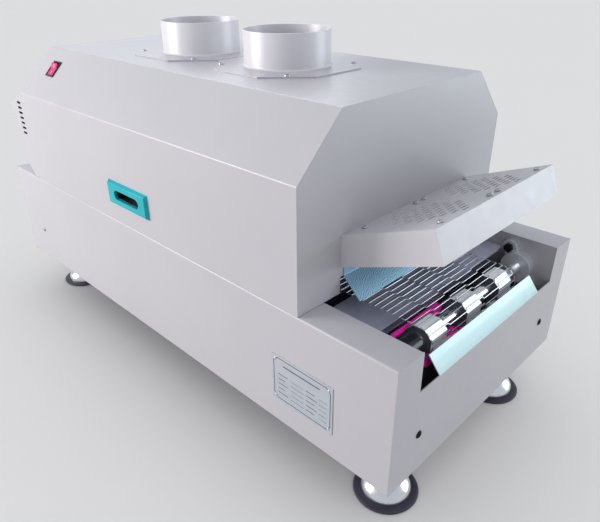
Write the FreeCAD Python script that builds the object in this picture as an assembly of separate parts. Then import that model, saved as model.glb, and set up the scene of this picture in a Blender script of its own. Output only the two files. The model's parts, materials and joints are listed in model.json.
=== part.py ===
import FreeCAD, Part
import math
import os

# Desktop conveyor reflow oven. Millimetres, +Z up, origin on the floor under the middle of the base.
# +X points to the outlet end, -Y to the front.

V = FreeCAD.Vector

# Sheet metal
sheet = 1.5
bend_radius = 3.0
frame_plate = 3.0
touch_gap = 0.3
run_clearance = 0.05

# Base cabinet
foot_height = 84.0
base_length = 935.0
base_width = 430.0
base_height = 182.0
flange_width = 46.0
notch_margin = 1.0
notch_depth = 55.0
lip_half_width = 128.0
lip_rise = 21.0
lip_reach = 17.0

# Hood
outlet_apron = 142.5
inlet_apron = 105.5
hood_height = 230.0
hood_chamfer = 70.0
hood_seam = 0.4
tunnel_half_width = 140.0
tunnel_height = 24.0

# Wire belt and its two shafts
belt_width = 212.0
belt_thickness = 4.0
belt_depth = 19.0
belt_slot_pitch = 18.6
belt_slot_length = 12.0
belt_lane_count = 3
belt_rail = 6.0
belt_gap = 0.4
drum_inset = 49.5
drum_radius = 20.6
drum_sides = 8
drum_width = 36.0
drum_spacing = 84.0
shaft_body_diameter = 20.0
shaft_journal_diameter = 17.0
collar_diameter = 34.0
collar_from_drum = 9.0
collar_from_frame = 28.0

# Flange bearings
bearing_bolt_spacing = 62.0
bearing_tilt = 57.0
bearing_hub_diameter = 46.0
bearing_ear_radius = 11.0
bearing_flange = 8.0
bearing_hub = 16.0
bearing_clearance = 2.0
bearing_bolt_diameter = 8.0
bolt_head_diameter = 13.0
bolt_head_height = 5.5

# Chain drive
chain_pitch = 9.525
drive_teeth = 16
motor_teeth = 12
sprocket_width = 5.0
sprocket_gap = 14.0
sprocket_hub_length = 8.0
sprocket_hub_wall = 5.0
tooth_tip_share = 0.25
tooth_root_share = 0.3
chain_width = 9.0
chain_height = 6.0
chain_gap = 0.5
motor_drop = 59.0
motor_setback = 27.0
motor_body_side = 64.0
motor_body_chamfer = 7.0
motor_body_length = 195.0
motor_cap_length = 20.0
motor_cap_step = 5.0
gearbox_side = 62.0
gearbox_length = 56.0
motor_shaft_diameter = 12.0
motor_shaft_seat = 30.0

# Deck and heaters
deck_inset = 78.0
deck_flange = 12.0
support_rod_diameter = 13.0
support_rod_inset = 18.5
support_rod_slot = 17.0
tray_clearance = 7.0
lower_tray_inset = 96.0
heater_count = 6
heater_diameter = 12.0
lower_heater_rise = 14.0
upper_tray_half_width = 160.0
upper_tray_bottom = 30.0
upper_tray_depth = 36.0
upper_heater_rise = 16.0
insulation_thickness = 30.0
probe_count = 3
probe_diameter = 5.0
probe_reach = 14.0
probe_head = 12.0

# Exhaust spigots
spigot_diameter = 126.0
spigot_wall = 1.5
spigot_height = 50.0
spigot_fillet = 2.4
spigot_fillet_height = 2.9
spigot_spacing = 203.0
spigot_offset = 13.0
spigot_plate_side = 200.0
spigot_plate_corner = 54.5
spigot_plate_thickness = 2.0
spigot_screw_offset = 68.0
fume_hole_diameter = 110.0

# Outlet cowl with two cooling fans
cowl_root = 80.0
cowl_width = 280.0
cowl_length = 131.0
cowl_depth = 40.0
cowl_tilt = 21.0
fan_side = 120.0
fan_depth = 38.0
fan_bore = 114.0
fan_gap = 4.0
fan_from_end = 1.0
fan_hole_spacing = 105.0
fan_hub_diameter = 42.0
fan_blade_count = 7
fan_blade_tip = 110.0
fan_blade_width = 26.0
fan_blade_thickness = 2.0
fan_blade_pitch = 42.0
fan_pin_diameter = 6.0
fan_strut_width = 6.0
fan_back = 5.0
grille_diameter = 104.0
grille_slot_length = 15.0
grille_slot_width = 4.0
grille_row_pitch = 8.5
grille_slot_pitch = 19.0

# Outlet flap under the cowl
flap_half_width = 135.0
flap_reach = 27.0
flap_drop = 26.0
flap_tab = 12.0

# Inlet console
console_top = 157.0
console_reach = 59.0
console_tip = 133.0
console_waist = 35.0
console_knee = 77.0
console_skirt = 23.0
console_foot_reach = 16.0
console_foot = 2.0
console_flange = 12.0
keypad_width = 170.0
keypad_height = 46.0
keypad_thickness = 1.0

# Lift handle
handle_offset = -10.5
handle_rise = 50.0
handle_width = 108.0
handle_height = 39.0
handle_stand = 5.4
handle_bevel = 3.5
grip_width = 67.0
grip_height = 15.0
cup_wall = 1.5
cup_depth = 16.0

# Rocker switch
switch_from_end = 64.0
switch_up_slope = 58.5
bezel_width = 25.0
bezel_length = 30.0
bezel_stand = 2.2
bezel_border = 2.2
switch_body_depth = 20.0
rocker_gap = 0.4
rocker_half_length = 11.0
rocker_throw = 10.0
rocker_wing = 3.4
rocker_valley = 1.2
rocker_root_half = 6.6
rocker_pivot_depth = 5.0
rocker_pin_diameter = 3.0

# Vents in the console's front wall
vent_count = 7
vent_pitch = 9.2
vent_length = 16.0
vent_width = 4.5
vent_from_hood = 17.5
vent_rise = 84.5

# Hinge
hinge_count = 3
hinge_length = 120.0
hinge_spacing = 230.0
hinge_leaf = 1.0
hinge_leaf_height = 22.0
knuckle_count = 5
knuckle_radius = 2.6
knuckle_gap = 0.4
hinge_stand = 0.2
pin_radius = 1.5

# Nameplate and screws
plate_from_end = 136.5
plate_rise = 75.0
plate_width = 103.0
plate_height = 71.0
plate_thickness = 1.0
rivet_diameter = 4.0
rivet_stand = 1.0
rivet_inset = 6.0
screw_diameter = 4.0
screw_head_diameter = 8.0
screw_head_height = 2.4
screw_length = 8.0
panel_screw_rise = 60.0
panel_screw_head_diameter = 10.5
panel_screw_head_height = 2.0
tab_width = 20.0
tab_height = 90.0
tab_rise = 15.0
corner_screw_inset = 70.0
corner_screw_rise = 64.0

# Feet
foot_inset_x = 49.5
foot_inset_y = 72.0
foot_diameter = 88.0
foot_rubber_height = 4.5
foot_edge = 2.0
foot_shoulder = 2.0
foot_lip = 2.0
foot_cup_diameter = 68.0
foot_cup_height = 28.0
foot_cup_seat = 2.0
foot_cup_neck = 22.0
stud_diameter = 12.0
stud_above_pan = 16.0
stud_nut_flats = 19.0
stud_nut_height = 9.0

# Electrical pieces on the pan
supply_size = (200.0, 105.0, 45.0)
supply_x = -180.0
relay_size = (45.0, 60.0, 26.0)
relay_spacing = 62.0
relay_x = 20.0
relay_count = 3
loom_diameter = 9.0
loom_bend = 30.0
loom_lead = 36.0
loom_turn = 24.0
inlet_from_end = 67.5
inlet_rise = 60.0
inlet_width = 50.0
inlet_height = 32.0
inlet_flange = 2.5
inlet_flange_border = 5.0
inlet_depth = 28.0
inlet_pin_diameter = 5.0

# Places worked out from the sizes above
half_length = base_length / 2
half_width = base_width / 2
base_bottom = foot_height
base_top = base_bottom + base_height
pan_top = base_bottom + sheet
frame_y = half_width - flange_width
notch_half = frame_y - notch_margin
notch_bottom = base_top - notch_depth
hood_x0 = -half_length + inlet_apron
hood_x1 = half_length - outlet_apron
hood_middle = (hood_x0 + hood_x1) / 2
plate_x = half_length - plate_from_end
inlet_x = inlet_from_end - half_length
switch_x = hood_x0 + switch_from_end
handle_x = hood_middle + handle_offset
hood_bottom = base_top + hood_seam
hood_top = base_top + hood_height
chamfer_z = hood_top - hood_chamfer
belt_top = base_top - belt_depth
drum_x = half_length - drum_inset
belt_inner_radius = drum_radius + belt_gap
belt_outer_radius = belt_inner_radius + belt_thickness
drum_z = belt_top - belt_outer_radius
deck_top = belt_top - belt_thickness - belt_gap
support_rod_xs = [hood_x0 + support_rod_inset, hood_x1 - support_rod_inset]
sprocket_y = frame_y + frame_plate + sprocket_gap
motor_x = drum_x - motor_setback
motor_z = drum_z - motor_drop
tray_top = hood_bottom + upper_tray_bottom + upper_tray_depth
hinge_y = half_width + knuckle_radius + hinge_stand
hinge_z = base_top + hood_seam / 2
spigot_xs = [hood_middle + spigot_offset + s * spigot_spacing / 2 for s in (-1, 1)]
foot_places = [(sx * (half_length - foot_inset_x), sy * (half_width - foot_inset_y))
               for sx in (-1, 1) for sy in (-1, 1)]


def block(x0, x1, y0, y1, z0, z1):
    return Part.makeBox(x1 - x0, y1 - y0, z1 - z0, V(x0, y0, z0))


def prism(points, axis, start, end):
    """Closed outline pushed along one axis. The outline's two numbers are the other two axes in order."""
    def place(a, b):
        return {"x": V(start, a, b), "y": V(a, start, b), "z": V(a, b, start)}[axis]
    corners = [place(a, b) for a, b in points]
    face = Part.Face(Part.makePolygon(corners + corners[:1]))
    way = {"x": V(1, 0, 0), "y": V(0, 1, 0), "z": V(0, 0, 1)}[axis]
    return solid(face.extrude(way * (end - start)))


def solid(shape):
    """The same shape with its faces pointing outward."""
    if shape.Volume < 0:
        shape.reverse()
    return shape


def rod(x, y, z, axis, diameter, length):
    way = {"x": V(1, 0, 0), "y": V(0, 1, 0), "z": V(0, 0, 1)}[axis]
    return Part.makeCylinder(diameter / 2, length, V(x, y, z), way)


def turned(profile, x, y):
    """Solid of revolution about a vertical axis, from an outline of (radius, height)."""
    corners = [V(r, 0, z) for r, z in profile]
    face = Part.Face(Part.makePolygon(corners + corners[:1]))
    body = solid(face.revolve(V(0, 0, 0), V(0, 0, 1), 360))
    body.translate(V(x, y, 0))
    return body


def polygon(sides, radius, turn=0.0):
    """Corners of a regular polygon."""
    steps = [math.radians(turn + 360.0 * k / sides) for k in range(sides)]
    return [(radius * math.cos(a), radius * math.sin(a)) for a in steps]


def bent(shape, folds, radius):
    """Round the long edges that run along X at the given (y, z) folds."""
    picked = []
    for edge in shape.Edges:
        a, b = edge.Vertexes[0].Point, edge.Vertexes[-1].Point
        for y, z in folds:
            if max(abs(a.y - y), abs(b.y - y), abs(a.z - z), abs(b.z - z)) < 1e-6:
                picked.append(edge)
    return shape.makeFillet(radius, picked)


def stadium(width, height):
    """Outline with round ends, long way along X, in the XY plane."""
    r = height / 2
    c = width / 2 - r
    return Part.Wire([
        Part.makeLine(V(-c, -r, 0), V(c, -r, 0)),
        Part.Arc(V(c, -r, 0), V(c + r, 0, 0), V(c, r, 0)).toShape(),
        Part.makeLine(V(c, r, 0), V(-c, r, 0)),
        Part.Arc(V(-c, r, 0), V(-c - r, 0, 0), V(-c, -r, 0)).toShape(),
    ])


def loop_outline(c1, r1, c2, r2):
    """Belt line round two wheels in the XZ plane, as two straight runs and two arcs."""
    dx, dz = c2[0] - c1[0], c2[1] - c1[1]
    gap = math.hypot(dx, dz)
    along = math.atan2(dz, dx)
    lean = math.acos((r1 - r2) / gap)

    def at(c, r, a):
        return V(c[0] + r * math.cos(a), 0, c[1] + r * math.sin(a))
    left, right = along + lean, along - lean
    return Part.Wire([
        Part.makeLine(at(c1, r1, right), at(c2, r2, right)),
        Part.Arc(at(c2, r2, right), at(c2, r2, along), at(c2, r2, left)).toShape(),
        Part.makeLine(at(c2, r2, left), at(c1, r1, left)),
        Part.Arc(at(c1, r1, left), at(c1, r1, along + math.pi), at(c1, r1, right)).toShape(),
    ])


def screw(x, y, z, way, head, head_height, shank, length):
    """Round-headed screw whose head stands off the point (x, y, z) along way."""
    top = Part.makeCylinder(head / 2, head_height, V(x, y, z), way)
    return top.fuse(Part.makeCylinder(shank / 2, length, V(x, y, z), way * -1)).removeSplitter()


def on_slope(shape):
    """Move a piece drawn flat to the front chamfer, centred on the switch."""
    half = math.sqrt(0.5)
    y = -half_width + switch_up_slope * half
    z = chamfer_z + switch_up_slope * half
    shape.Placement = FreeCAD.Placement(V(switch_x, y, z), FreeCAD.Rotation(V(1, 0, 0), 45))
    return shape


def on_cowl(shape):
    """Move a piece drawn flat to the cowl, whose top starts at the hood's outlet end."""
    at = V(hood_x1, 0, base_top + cowl_root)
    shape.Placement = FreeCAD.Placement(at, FreeCAD.Rotation(V(0, 1, 0), -cowl_tilt))
    return shape


def base_shell():
    w, t, zb, zt = half_width, sheet, base_bottom, base_top
    outline = [(-w, zb), (w, zb), (w, zt), (frame_y, zt), (frame_y, zt - t), (w - t, zt - t), (w - t, zb + t),
               (t - w, zb + t), (t - w, zt - t), (-frame_y, zt - t), (-frame_y, zt), (-w, zt)]
    body = prism(outline, "x", sheet - half_length, half_length - sheet)
    outside = [(s * w, z) for s in (-1, 1) for z in (zb, zt)]
    inside = [(s * (w - t), z) for s in (-1, 1) for z in (zb + t, zt - t)]
    body = bent(bent(body, outside, bend_radius), inside, bend_radius - sheet)
    for x, y in foot_places:
        body = body.cut(rod(x, y, base_bottom - 1, "z", stud_diameter + 1, sheet + 2))
    body = body.cut(block(inlet_x - inlet_width / 2, inlet_x + inlet_width / 2, w - 2 * t, w + t,
                          zb + inlet_rise - inlet_height / 2, zb + inlet_rise + inlet_height / 2))
    screw_x = corner_screw_inset - half_length
    body = body.cut(rod(screw_x, -w - 1, zb + corner_screw_rise, "y", screw_diameter, t + 2))
    for rivet in rivet_places():
        body = body.cut(rod(rivet[0], -w - 1, rivet[1], "y", rivet_diameter / 2, t + 2))
    return body


def end_panel(side):
    """End sheet with its belt notch and the board lip bent in from the notch's bottom edge."""
    outer, inner = side * half_length, side * (half_length - sheet)
    panel = block(min(outer, inner), max(outer, inner), -half_width, half_width, base_bottom, base_top)
    panel = panel.cut(block(min(outer, inner) - 1, max(outer, inner) + 1, -notch_half, notch_half,
                            notch_bottom, base_top + 1))
    slant = math.hypot(lip_reach, lip_rise)
    nx, nz = sheet * lip_rise / slant, sheet * lip_reach / slant
    tip_x, tip_z = half_length - lip_reach, notch_bottom + lip_rise
    outline = [(half_length, notch_bottom), (tip_x, tip_z), (tip_x - nx, tip_z - nz),
               (half_length - nx, notch_bottom - nz)]
    lip = prism([(side * x, z) for x, z in outline], "y", -lip_half_width, lip_half_width)
    panel = panel.fuse(lip).removeSplitter()
    for y in (-1, 1):
        panel = panel.cut(rod(-half_length - 1, y * tab_screw_y(), base_bottom + panel_screw_rise, "x",
                              screw_diameter, base_length + 2))
    return panel


def tab_screw_y():
    return frame_y - tab_width / 2 + frame_plate / 2


def side_frame(side):
    """Upright plate under the top flange. It carries the bearings and has a turned-in tab at each end."""
    y0, y1 = sorted((side * frame_y, side * (frame_y + frame_plate)))
    inner_end = half_length - sheet
    plate = block(-inner_end, inner_end, y0, y1, pan_top, base_top - sheet)
    for end in (-1, 1):
        x0, x1 = sorted((end * inner_end, end * (inner_end - frame_plate)))
        t0, t1 = sorted((side * (frame_y + frame_plate), side * (frame_y + frame_plate - tab_width)))
        plate = plate.fuse(block(x0, x1, t0, t1, pan_top + tab_rise, pan_top + tab_rise + tab_height))
    plate = plate.removeSplitter()
    for x in (-drum_x, drum_x):
        plate = plate.cut(rod(x, y0 - 1, drum_z, "y", shaft_journal_diameter + 4, frame_plate + 2))
        for bx, bz in bolt_places(x):
            plate = plate.cut(rod(bx, y0 - 1, bz, "y", bearing_bolt_diameter + 2 * run_clearance,
                                  frame_plate + 2))
    for end in (-1, 1):
        x = -half_length if end < 0 else half_length - 2 * frame_plate - sheet
        plate = plate.cut(rod(x, side * tab_screw_y(), base_bottom + panel_screw_rise, "x", screw_diameter,
                              2 * frame_plate + sheet))
    if side > 0:
        plate = plate.cut(rod(motor_x, y0 - 1, motor_z, "y", motor_shaft_diameter + 4, frame_plate + 2))
    return plate


def bolt_places(x):
    dx = bearing_bolt_spacing / 2 * math.cos(math.radians(bearing_tilt))
    dz = bearing_bolt_spacing / 2 * math.sin(math.radians(bearing_tilt))
    lean = -1 if x > 0 else 1
    return [(x + lean * dx, drum_z + dz), (x - lean * dx, drum_z - dz)]


def flange_bearing(x, side):
    """Two-bolt flange unit on the inner face of a side frame."""
    hub = rod(x, 0, drum_z, "y", bearing_hub_diameter, bearing_hub)
    (ax, az), (bx, bz) = bolt_places(x)
    hull = loop_outline((ax, az), bearing_ear_radius, (bx, bz), bearing_ear_radius)
    plate = solid(Part.Face(hull).extrude(V(0, bearing_flange, 0)))
    unit = hub.fuse(plate).removeSplitter()
    unit = unit.cut(rod(x, -1, drum_z, "y", shaft_journal_diameter + 2 * run_clearance, bearing_hub + 2))
    for px, pz in ((ax, az), (bx, bz)):
        unit = unit.cut(rod(px, -1, pz, "y", bearing_bolt_diameter + 2 * run_clearance, bearing_flange + 2))
    if side > 0:
        unit = unit.mirror(V(0, 0, 0), V(0, 1, 0))
    unit.translate(V(0, side * frame_y, 0))
    return unit


def bearing_bolts():
    bolts = []
    for x in (-drum_x, drum_x):
        for side in (-1, 1):
            for bx, bz in bolt_places(x):
                seat = side * (frame_y - bearing_flange)
                bolts.append(screw(bx, seat, bz, V(0, -side, 0), bolt_head_diameter, bolt_head_height,
                                   bearing_bolt_diameter, bearing_flange + frame_plate))
    return bolts


def wire_belt():
    """Closed belt loop. Its two flat runs have a lane of slots between each pair of link rows."""
    half_run, half_belt = drum_x, belt_width / 2
    lane = (belt_width - (belt_lane_count + 1) * belt_rail) / belt_lane_count
    count = int(2 * half_run / belt_slot_pitch)
    first = -(count - 1) / 2 * belt_slot_pitch
    outer = Part.makePolygon([V(x, y, 0) for x, y in ((-half_run, -half_belt), (half_run, -half_belt),
                              (half_run, half_belt), (-half_run, half_belt), (-half_run, -half_belt))])
    slots = []
    for column in range(belt_lane_count):
        y0 = -half_belt + belt_rail + column * (lane + belt_rail)
        for row in range(count):
            x0 = first + row * belt_slot_pitch - belt_slot_length / 2
            x1, y1 = x0 + belt_slot_length, y0 + lane
            corners = [(x0, y0), (x0, y1), (x1, y1), (x1, y0)]
            slots.append(Part.makePolygon([V(a, b, 0) for a, b in corners + corners[:1]]))
    run = solid(Part.Face([outer] + slots).extrude(V(0, 0, belt_thickness)))
    upper = run.copy()
    upper.translate(V(0, 0, belt_top - belt_thickness))
    lower = run.copy()
    lower.translate(V(0, 0, drum_z - belt_outer_radius))
    turns = []
    for side in (-1, 1):
        ring = rod(side * half_run, -half_belt, drum_z, "y", 2 * belt_outer_radius, belt_width)
        ring = ring.cut(rod(side * half_run, -half_belt, drum_z, "y", 2 * belt_inner_radius, belt_width))
        x0, x1 = sorted((side * half_run, side * (half_run + 2 * belt_outer_radius)))
        turns.append(ring.common(block(x0, x1, -half_belt, half_belt,
                                       drum_z - 2 * belt_outer_radius, drum_z + 2 * belt_outer_radius)))
    return upper.fuse([lower] + turns)


def drum_ys():
    return [-drum_spacing, 0.0, drum_spacing]


def belt_shaft(x, driven):
    """Stepped shaft with a thick middle and two journals. The driven one runs on to its sprocket."""
    half_body = frame_y - bearing_hub - touch_gap
    body = rod(x, -half_body, drum_z, "y", shaft_body_diameter, 2 * half_body)
    end = sprocket_y + sprocket_width / 2 + sprocket_hub_length if driven else frame_y + frame_plate
    start = -(frame_y + frame_plate)
    return body.fuse(rod(x, start, drum_z, "y", shaft_journal_diameter, end - start)).removeSplitter()


def belt_drums(x):
    """Three faceted drums that carry the belt's wires."""
    drums = []
    for y in drum_ys():
        outline = [(x + a, drum_z + b) for a, b in polygon(drum_sides, drum_radius, 180.0 / drum_sides)]
        drum = prism(outline, "y", y - drum_width / 2, y + drum_width / 2)
        bore = shaft_body_diameter + 2 * run_clearance
        drums.append(drum.cut(rod(x, y - drum_width, drum_z, "y", bore, 2 * drum_width)))
    return drums


def shaft_collar(x):
    """Collar on the shaft at the front, between the outer drum and the bearing."""
    near, far = drum_spacing + drum_width / 2 + collar_from_drum, frame_y - collar_from_frame
    ring = rod(x, -far, drum_z, "y", collar_diameter, far - near)
    return ring.cut(rod(x, -far - 1, drum_z, "y", shaft_body_diameter + 2 * run_clearance, far - near + 2))


def pitch_radius(teeth):
    return chain_pitch / (2 * math.sin(math.pi / teeth))


def sprocket(x, z, teeth, bore):
    """Chain wheel with pointed teeth and a hub on its outer side."""
    tip = pitch_radius(teeth) + chain_pitch * tooth_tip_share
    root = pitch_radius(teeth) - chain_pitch * tooth_root_share
    outline = []
    for k in range(teeth):
        for share, r in ((0.0, root), (0.3, root), (0.55, tip), (0.75, tip)):
            a = 2 * math.pi * (k + share) / teeth
            outline.append((x + r * math.cos(a), z + r * math.sin(a)))
    wheel = prism(outline, "y", sprocket_y - sprocket_width / 2, sprocket_y + sprocket_width / 2)
    hub = rod(x, sprocket_y, z, "y", bore + 2 * sprocket_hub_wall, sprocket_width / 2 + sprocket_hub_length)
    wheel = wheel.fuse(hub).removeSplitter()
    return wheel.cut(rod(x, sprocket_y - 2 * sprocket_width, z, "y", bore + 2 * run_clearance,
                         4 * sprocket_width + sprocket_hub_length))


def drive_chain():
    """Chain band round the two sprockets, just clear of their teeth."""
    def loop(extra):
        r1 = pitch_radius(motor_teeth) + chain_pitch * tooth_tip_share + extra
        r2 = pitch_radius(drive_teeth) + chain_pitch * tooth_tip_share + extra
        wire = loop_outline((motor_x, motor_z), r1, (drum_x, drum_z), r2)
        return solid(Part.Face(wire).extrude(V(0, chain_width, 0)))
    band = loop(chain_gap + chain_height).cut(loop(chain_gap))
    band.translate(V(0, sprocket_y - chain_width / 2, 0))
    return band


def motor_section(side):
    """Square outline with cut corners, about the motor's shaft."""
    h, c = side / 2, side / 2 - motor_body_chamfer
    corners = [(h, -c), (h, c), (c, h), (-c, h), (-h, c), (-h, -c), (-c, -h), (c, -h)]
    return [(motor_x + a, motor_z + b) for a, b in corners]


def gearmotor():
    """Square-bodied motor with an end cap and a gearbox, bolted by its face to the back side frame."""
    half = gearbox_side / 2
    box_start = frame_y - gearbox_length
    body_start = box_start - motor_body_length
    box = block(motor_x - half, motor_x + half, box_start, frame_y, motor_z - half, motor_z + half)
    can = prism(motor_section(motor_body_side), "y", body_start, box_start)
    cap = prism(motor_section(motor_body_side - 2 * motor_cap_step), "y", body_start - motor_cap_length,
                body_start)
    body = box.fuse([can, cap]).removeSplitter()
    seat = rod(motor_x, frame_y - motor_shaft_seat - touch_gap, motor_z, "y",
               motor_shaft_diameter + 2 * run_clearance, motor_shaft_seat + 1)
    return body.cut(seat)


def motor_shaft():
    end = sprocket_y + sprocket_width / 2 + sprocket_hub_length
    start = frame_y - motor_shaft_seat
    return rod(motor_x, start, motor_z, "y", motor_shaft_diameter, end - start)


def lower_deck():
    """Plate under the belt's upper run, turned down at the side frames, with slots for the support rods."""
    half = half_length - deck_inset
    y, t, top = frame_y, sheet, deck_top
    outline = [(-y, top), (y, top), (y, top - deck_flange), (y - t, top - deck_flange), (y - t, top - t),
               (t - y, top - t), (t - y, top - deck_flange), (-y, top - deck_flange)]
    deck = prism(outline, "x", -half, half)
    ear = bearing_bolt_spacing / 2 * math.cos(math.radians(bearing_tilt)) + bearing_ear_radius
    notch_x, notch_y = drum_x - ear - bearing_clearance, y - bearing_hub - bearing_clearance
    for end in (-1, 1):
        x0, x1 = sorted((end * notch_x, end * half_length))
        for side in (-1, 1):
            y0, y1 = sorted((side * notch_y, side * half_width))
            deck = deck.cut(block(x0, x1, y0, y1, top - deck_flange - 1, top + 1))
    for x in support_rod_xs:
        half_slot = support_rod_slot / 2
        deck = deck.cut(block(x - half_slot, x + half_slot, t - y, y - t, top - deck_flange, top + 1))
    return deck


def support_rods():
    """Round rods across the deck at the tunnel's two mouths, which the belt slides over."""
    y, z = frame_y - sheet, deck_top - support_rod_diameter / 2
    return [rod(x, -y, z, "y", support_rod_diameter, 2 * y) for x in support_rod_xs]


def heater_xs(x0, x1):
    step = (x1 - x0) / heater_count
    return [x0 + (k + 0.5) * step for k in range(heater_count)]


def lower_tray():
    """Reflector pan between the belt's two runs, hung from the side frames."""
    half = half_length - lower_tray_inset
    bottom = drum_z - belt_inner_radius + tray_clearance
    lip = deck_top - deck_flange - touch_gap
    y, t = frame_y, sheet
    outline = [(-y, bottom), (y, bottom), (y, lip), (y - t, lip), (y - t, bottom + t), (t - y, bottom + t),
               (t - y, lip), (-y, lip)]
    return prism(outline, "x", -half, half)


def lower_heaters():
    half = half_length - lower_tray_inset
    z = drum_z - belt_inner_radius + tray_clearance + lower_heater_rise
    y = frame_y - sheet - touch_gap
    return [rod(x, -y, z, "y", heater_diameter, 2 * y) for x in heater_xs(-half, half)]


def hood_outline(offset):
    """Hood section, moved inward by offset: upright walls, two 45 degree chamfers and a flat top."""
    slip = offset * math.tan(math.radians(22.5))
    y, top = half_width - offset, hood_top - offset
    half_flat = half_width - hood_chamfer - slip
    return [(-y, hood_bottom), (-y, chamfer_z - slip), (-half_flat, top), (half_flat, top),
            (y, chamfer_z - slip), (y, hood_bottom)]


def hood_skin():
    outer, inner = hood_outline(0.0), hood_outline(sheet)
    body = prism(outer + inner[::-1], "x", hood_x0, hood_x1)
    body = bent(bent(body, outer[1:5], bend_radius), inner[1:5], bend_radius - sheet)
    for x in spigot_xs:
        body = body.cut(rod(x, 0, hood_top - 2 * sheet, "z", spigot_diameter - 2 * spigot_wall, 3 * sheet))
    for x, y in spigot_screw_places():
        body = body.cut(rod(x, y, hood_top - 2 * sheet, "z", screw_diameter, 3 * sheet))
    half_w, half_h = grip_width / 2 + cup_wall, grip_height / 2 + cup_wall
    grip_z = base_top + handle_rise
    body = body.cut(block(handle_x - half_w, handle_x + half_w, -half_width - 1, 2 * sheet - half_width,
                          grip_z - half_h, grip_z + half_h))
    cut_w, cut_l = bezel_width / 2 - bezel_border / 2, bezel_length / 2 - bezel_border / 2
    body = body.cut(on_slope(block(-cut_w, cut_w, -cut_l, cut_l, -3 * sheet, sheet)))
    return body


def hood_end_plate(x0):
    """Plate inside one end of the hood skin, with the tunnel's opening at its foot."""
    plate = prism(hood_outline(sheet), "x", x0, x0 + sheet)
    folds = hood_outline(sheet)[1:5]
    plate = bent(plate, folds, bend_radius - sheet)
    mouth = block(x0 - 1, x0 + sheet + 1, -tunnel_half_width, tunnel_half_width,
                  hood_bottom - 1, base_top + tunnel_height)
    return plate.cut(mouth)


def upper_span():
    return hood_x0 + sheet, hood_x1 - sheet


def probe_xs():
    x0, x1 = upper_span()
    step = (x1 - x0) / probe_count
    edge = step / heater_count
    return [x0 + (k + 0.5) * step + edge for k in range(probe_count)]


def upper_tray():
    """Inverted reflector pan over the tunnel, fixed between the hood's end plates."""
    x0, x1 = upper_span()
    y, t, top = upper_tray_half_width, sheet, tray_top
    low = top - upper_tray_depth
    outline = [(-y, low), (-y, top), (y, top), (y, low), (y - t, low), (y - t, top - t), (t - y, top - t),
               (t - y, low)]
    tray = prism(outline, "x", x0, x1)
    return pierced(tray)


def pierced(body):
    """Cut the fume holes under the spigots and the probe holes."""
    for x in spigot_xs:
        body = body.cut(rod(x, 0, tray_top - 2 * upper_tray_depth, "z", fume_hole_diameter,
                            3 * upper_tray_depth + insulation_thickness))
    for x in probe_xs():
        body = body.cut(rod(x, probe_y(), tray_top - upper_tray_depth, "z", probe_diameter + 2 * run_clearance,
                            2 * upper_tray_depth + insulation_thickness))
    return body


def probe_y():
    return (fume_hole_diameter / 2 + upper_tray_half_width) / 2


def upper_heaters():
    x0, x1 = upper_span()
    z = tray_top - upper_tray_depth + upper_heater_rise
    y = upper_tray_half_width - sheet - touch_gap
    return [rod(x, -y, z, "y", heater_diameter, 2 * y) for x in heater_xs(x0, x1)]


def hood_insulation():
    x0, x1 = upper_span()
    y = upper_tray_half_width
    board = block(x0, x1, -y, y, tray_top, tray_top + insulation_thickness)
    return pierced(board)


def probes():
    """Temperature probes with a head on the insulation and a tip under the reflector."""
    seat = tray_top + insulation_thickness
    items = []
    for x in probe_xs():
        stem = rod(x, probe_y(), tray_top - probe_reach, "z", probe_diameter, seat - tray_top + probe_reach)
        items.append(stem.fuse(rod(x, probe_y(), seat, "z", 2 * probe_diameter, probe_head)).removeSplitter())
    return items


def spigot_screw_places():
    d = spigot_screw_offset
    return [(x + a * d, b * d) for x in spigot_xs for a in (-1, 1) for b in (-1, 1)]


def spigot_plate(x):
    """Octagonal plate round the foot of an exhaust spigot."""
    h, c = spigot_plate_side / 2, spigot_plate_side / 2 - spigot_plate_corner
    outline = [(h, -c), (h, c), (c, h), (-c, h), (-h, c), (-h, -c), (-c, -h), (c, -h)]
    plate = prism([(x + a, b) for a, b in outline], "z", hood_top, hood_top + spigot_plate_thickness)
    plate = plate.cut(rod(x, 0, hood_top - 1, "z", spigot_diameter - 2 * spigot_wall,
                          spigot_plate_thickness + 2))
    for sx, sy in spigot_screw_places():
        plate = plate.cut(rod(sx, sy, hood_top - 1, "z", screw_diameter, spigot_plate_thickness + 2))
    return plate


def spigot(x):
    """Round duct spigot, rolled from sheet, with a weld bead round its foot on the plate."""
    r, foot, top = spigot_diameter / 2, hood_top + spigot_plate_thickness, hood_top + spigot_height
    inner = r - spigot_wall
    return turned([(inner, foot), (r + spigot_fillet, foot), (r, foot + spigot_fillet_height), (r, top),
                   (inner, top)], x, 0)


def spigot_screws():
    z = hood_top + spigot_plate_thickness
    shank = screw_diameter - 2 * run_clearance
    return [screw(x, y, z, V(0, 0, 1), screw_head_diameter, screw_head_height, shank,
                  spigot_plate_thickness + sheet) for x, y in spigot_screw_places()]


def fan_places():
    u = cowl_length - sheet - fan_from_end - fan_side / 2
    return [(u, s * (fan_side + fan_gap) / 2) for s in (-1, 1)]


def fan_screw_places():
    d = fan_hole_spacing / 2
    return [(u + a * d, y + b * d) for u, y in fan_places() for a in (-1, 1) for b in (-1, 1)]


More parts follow.
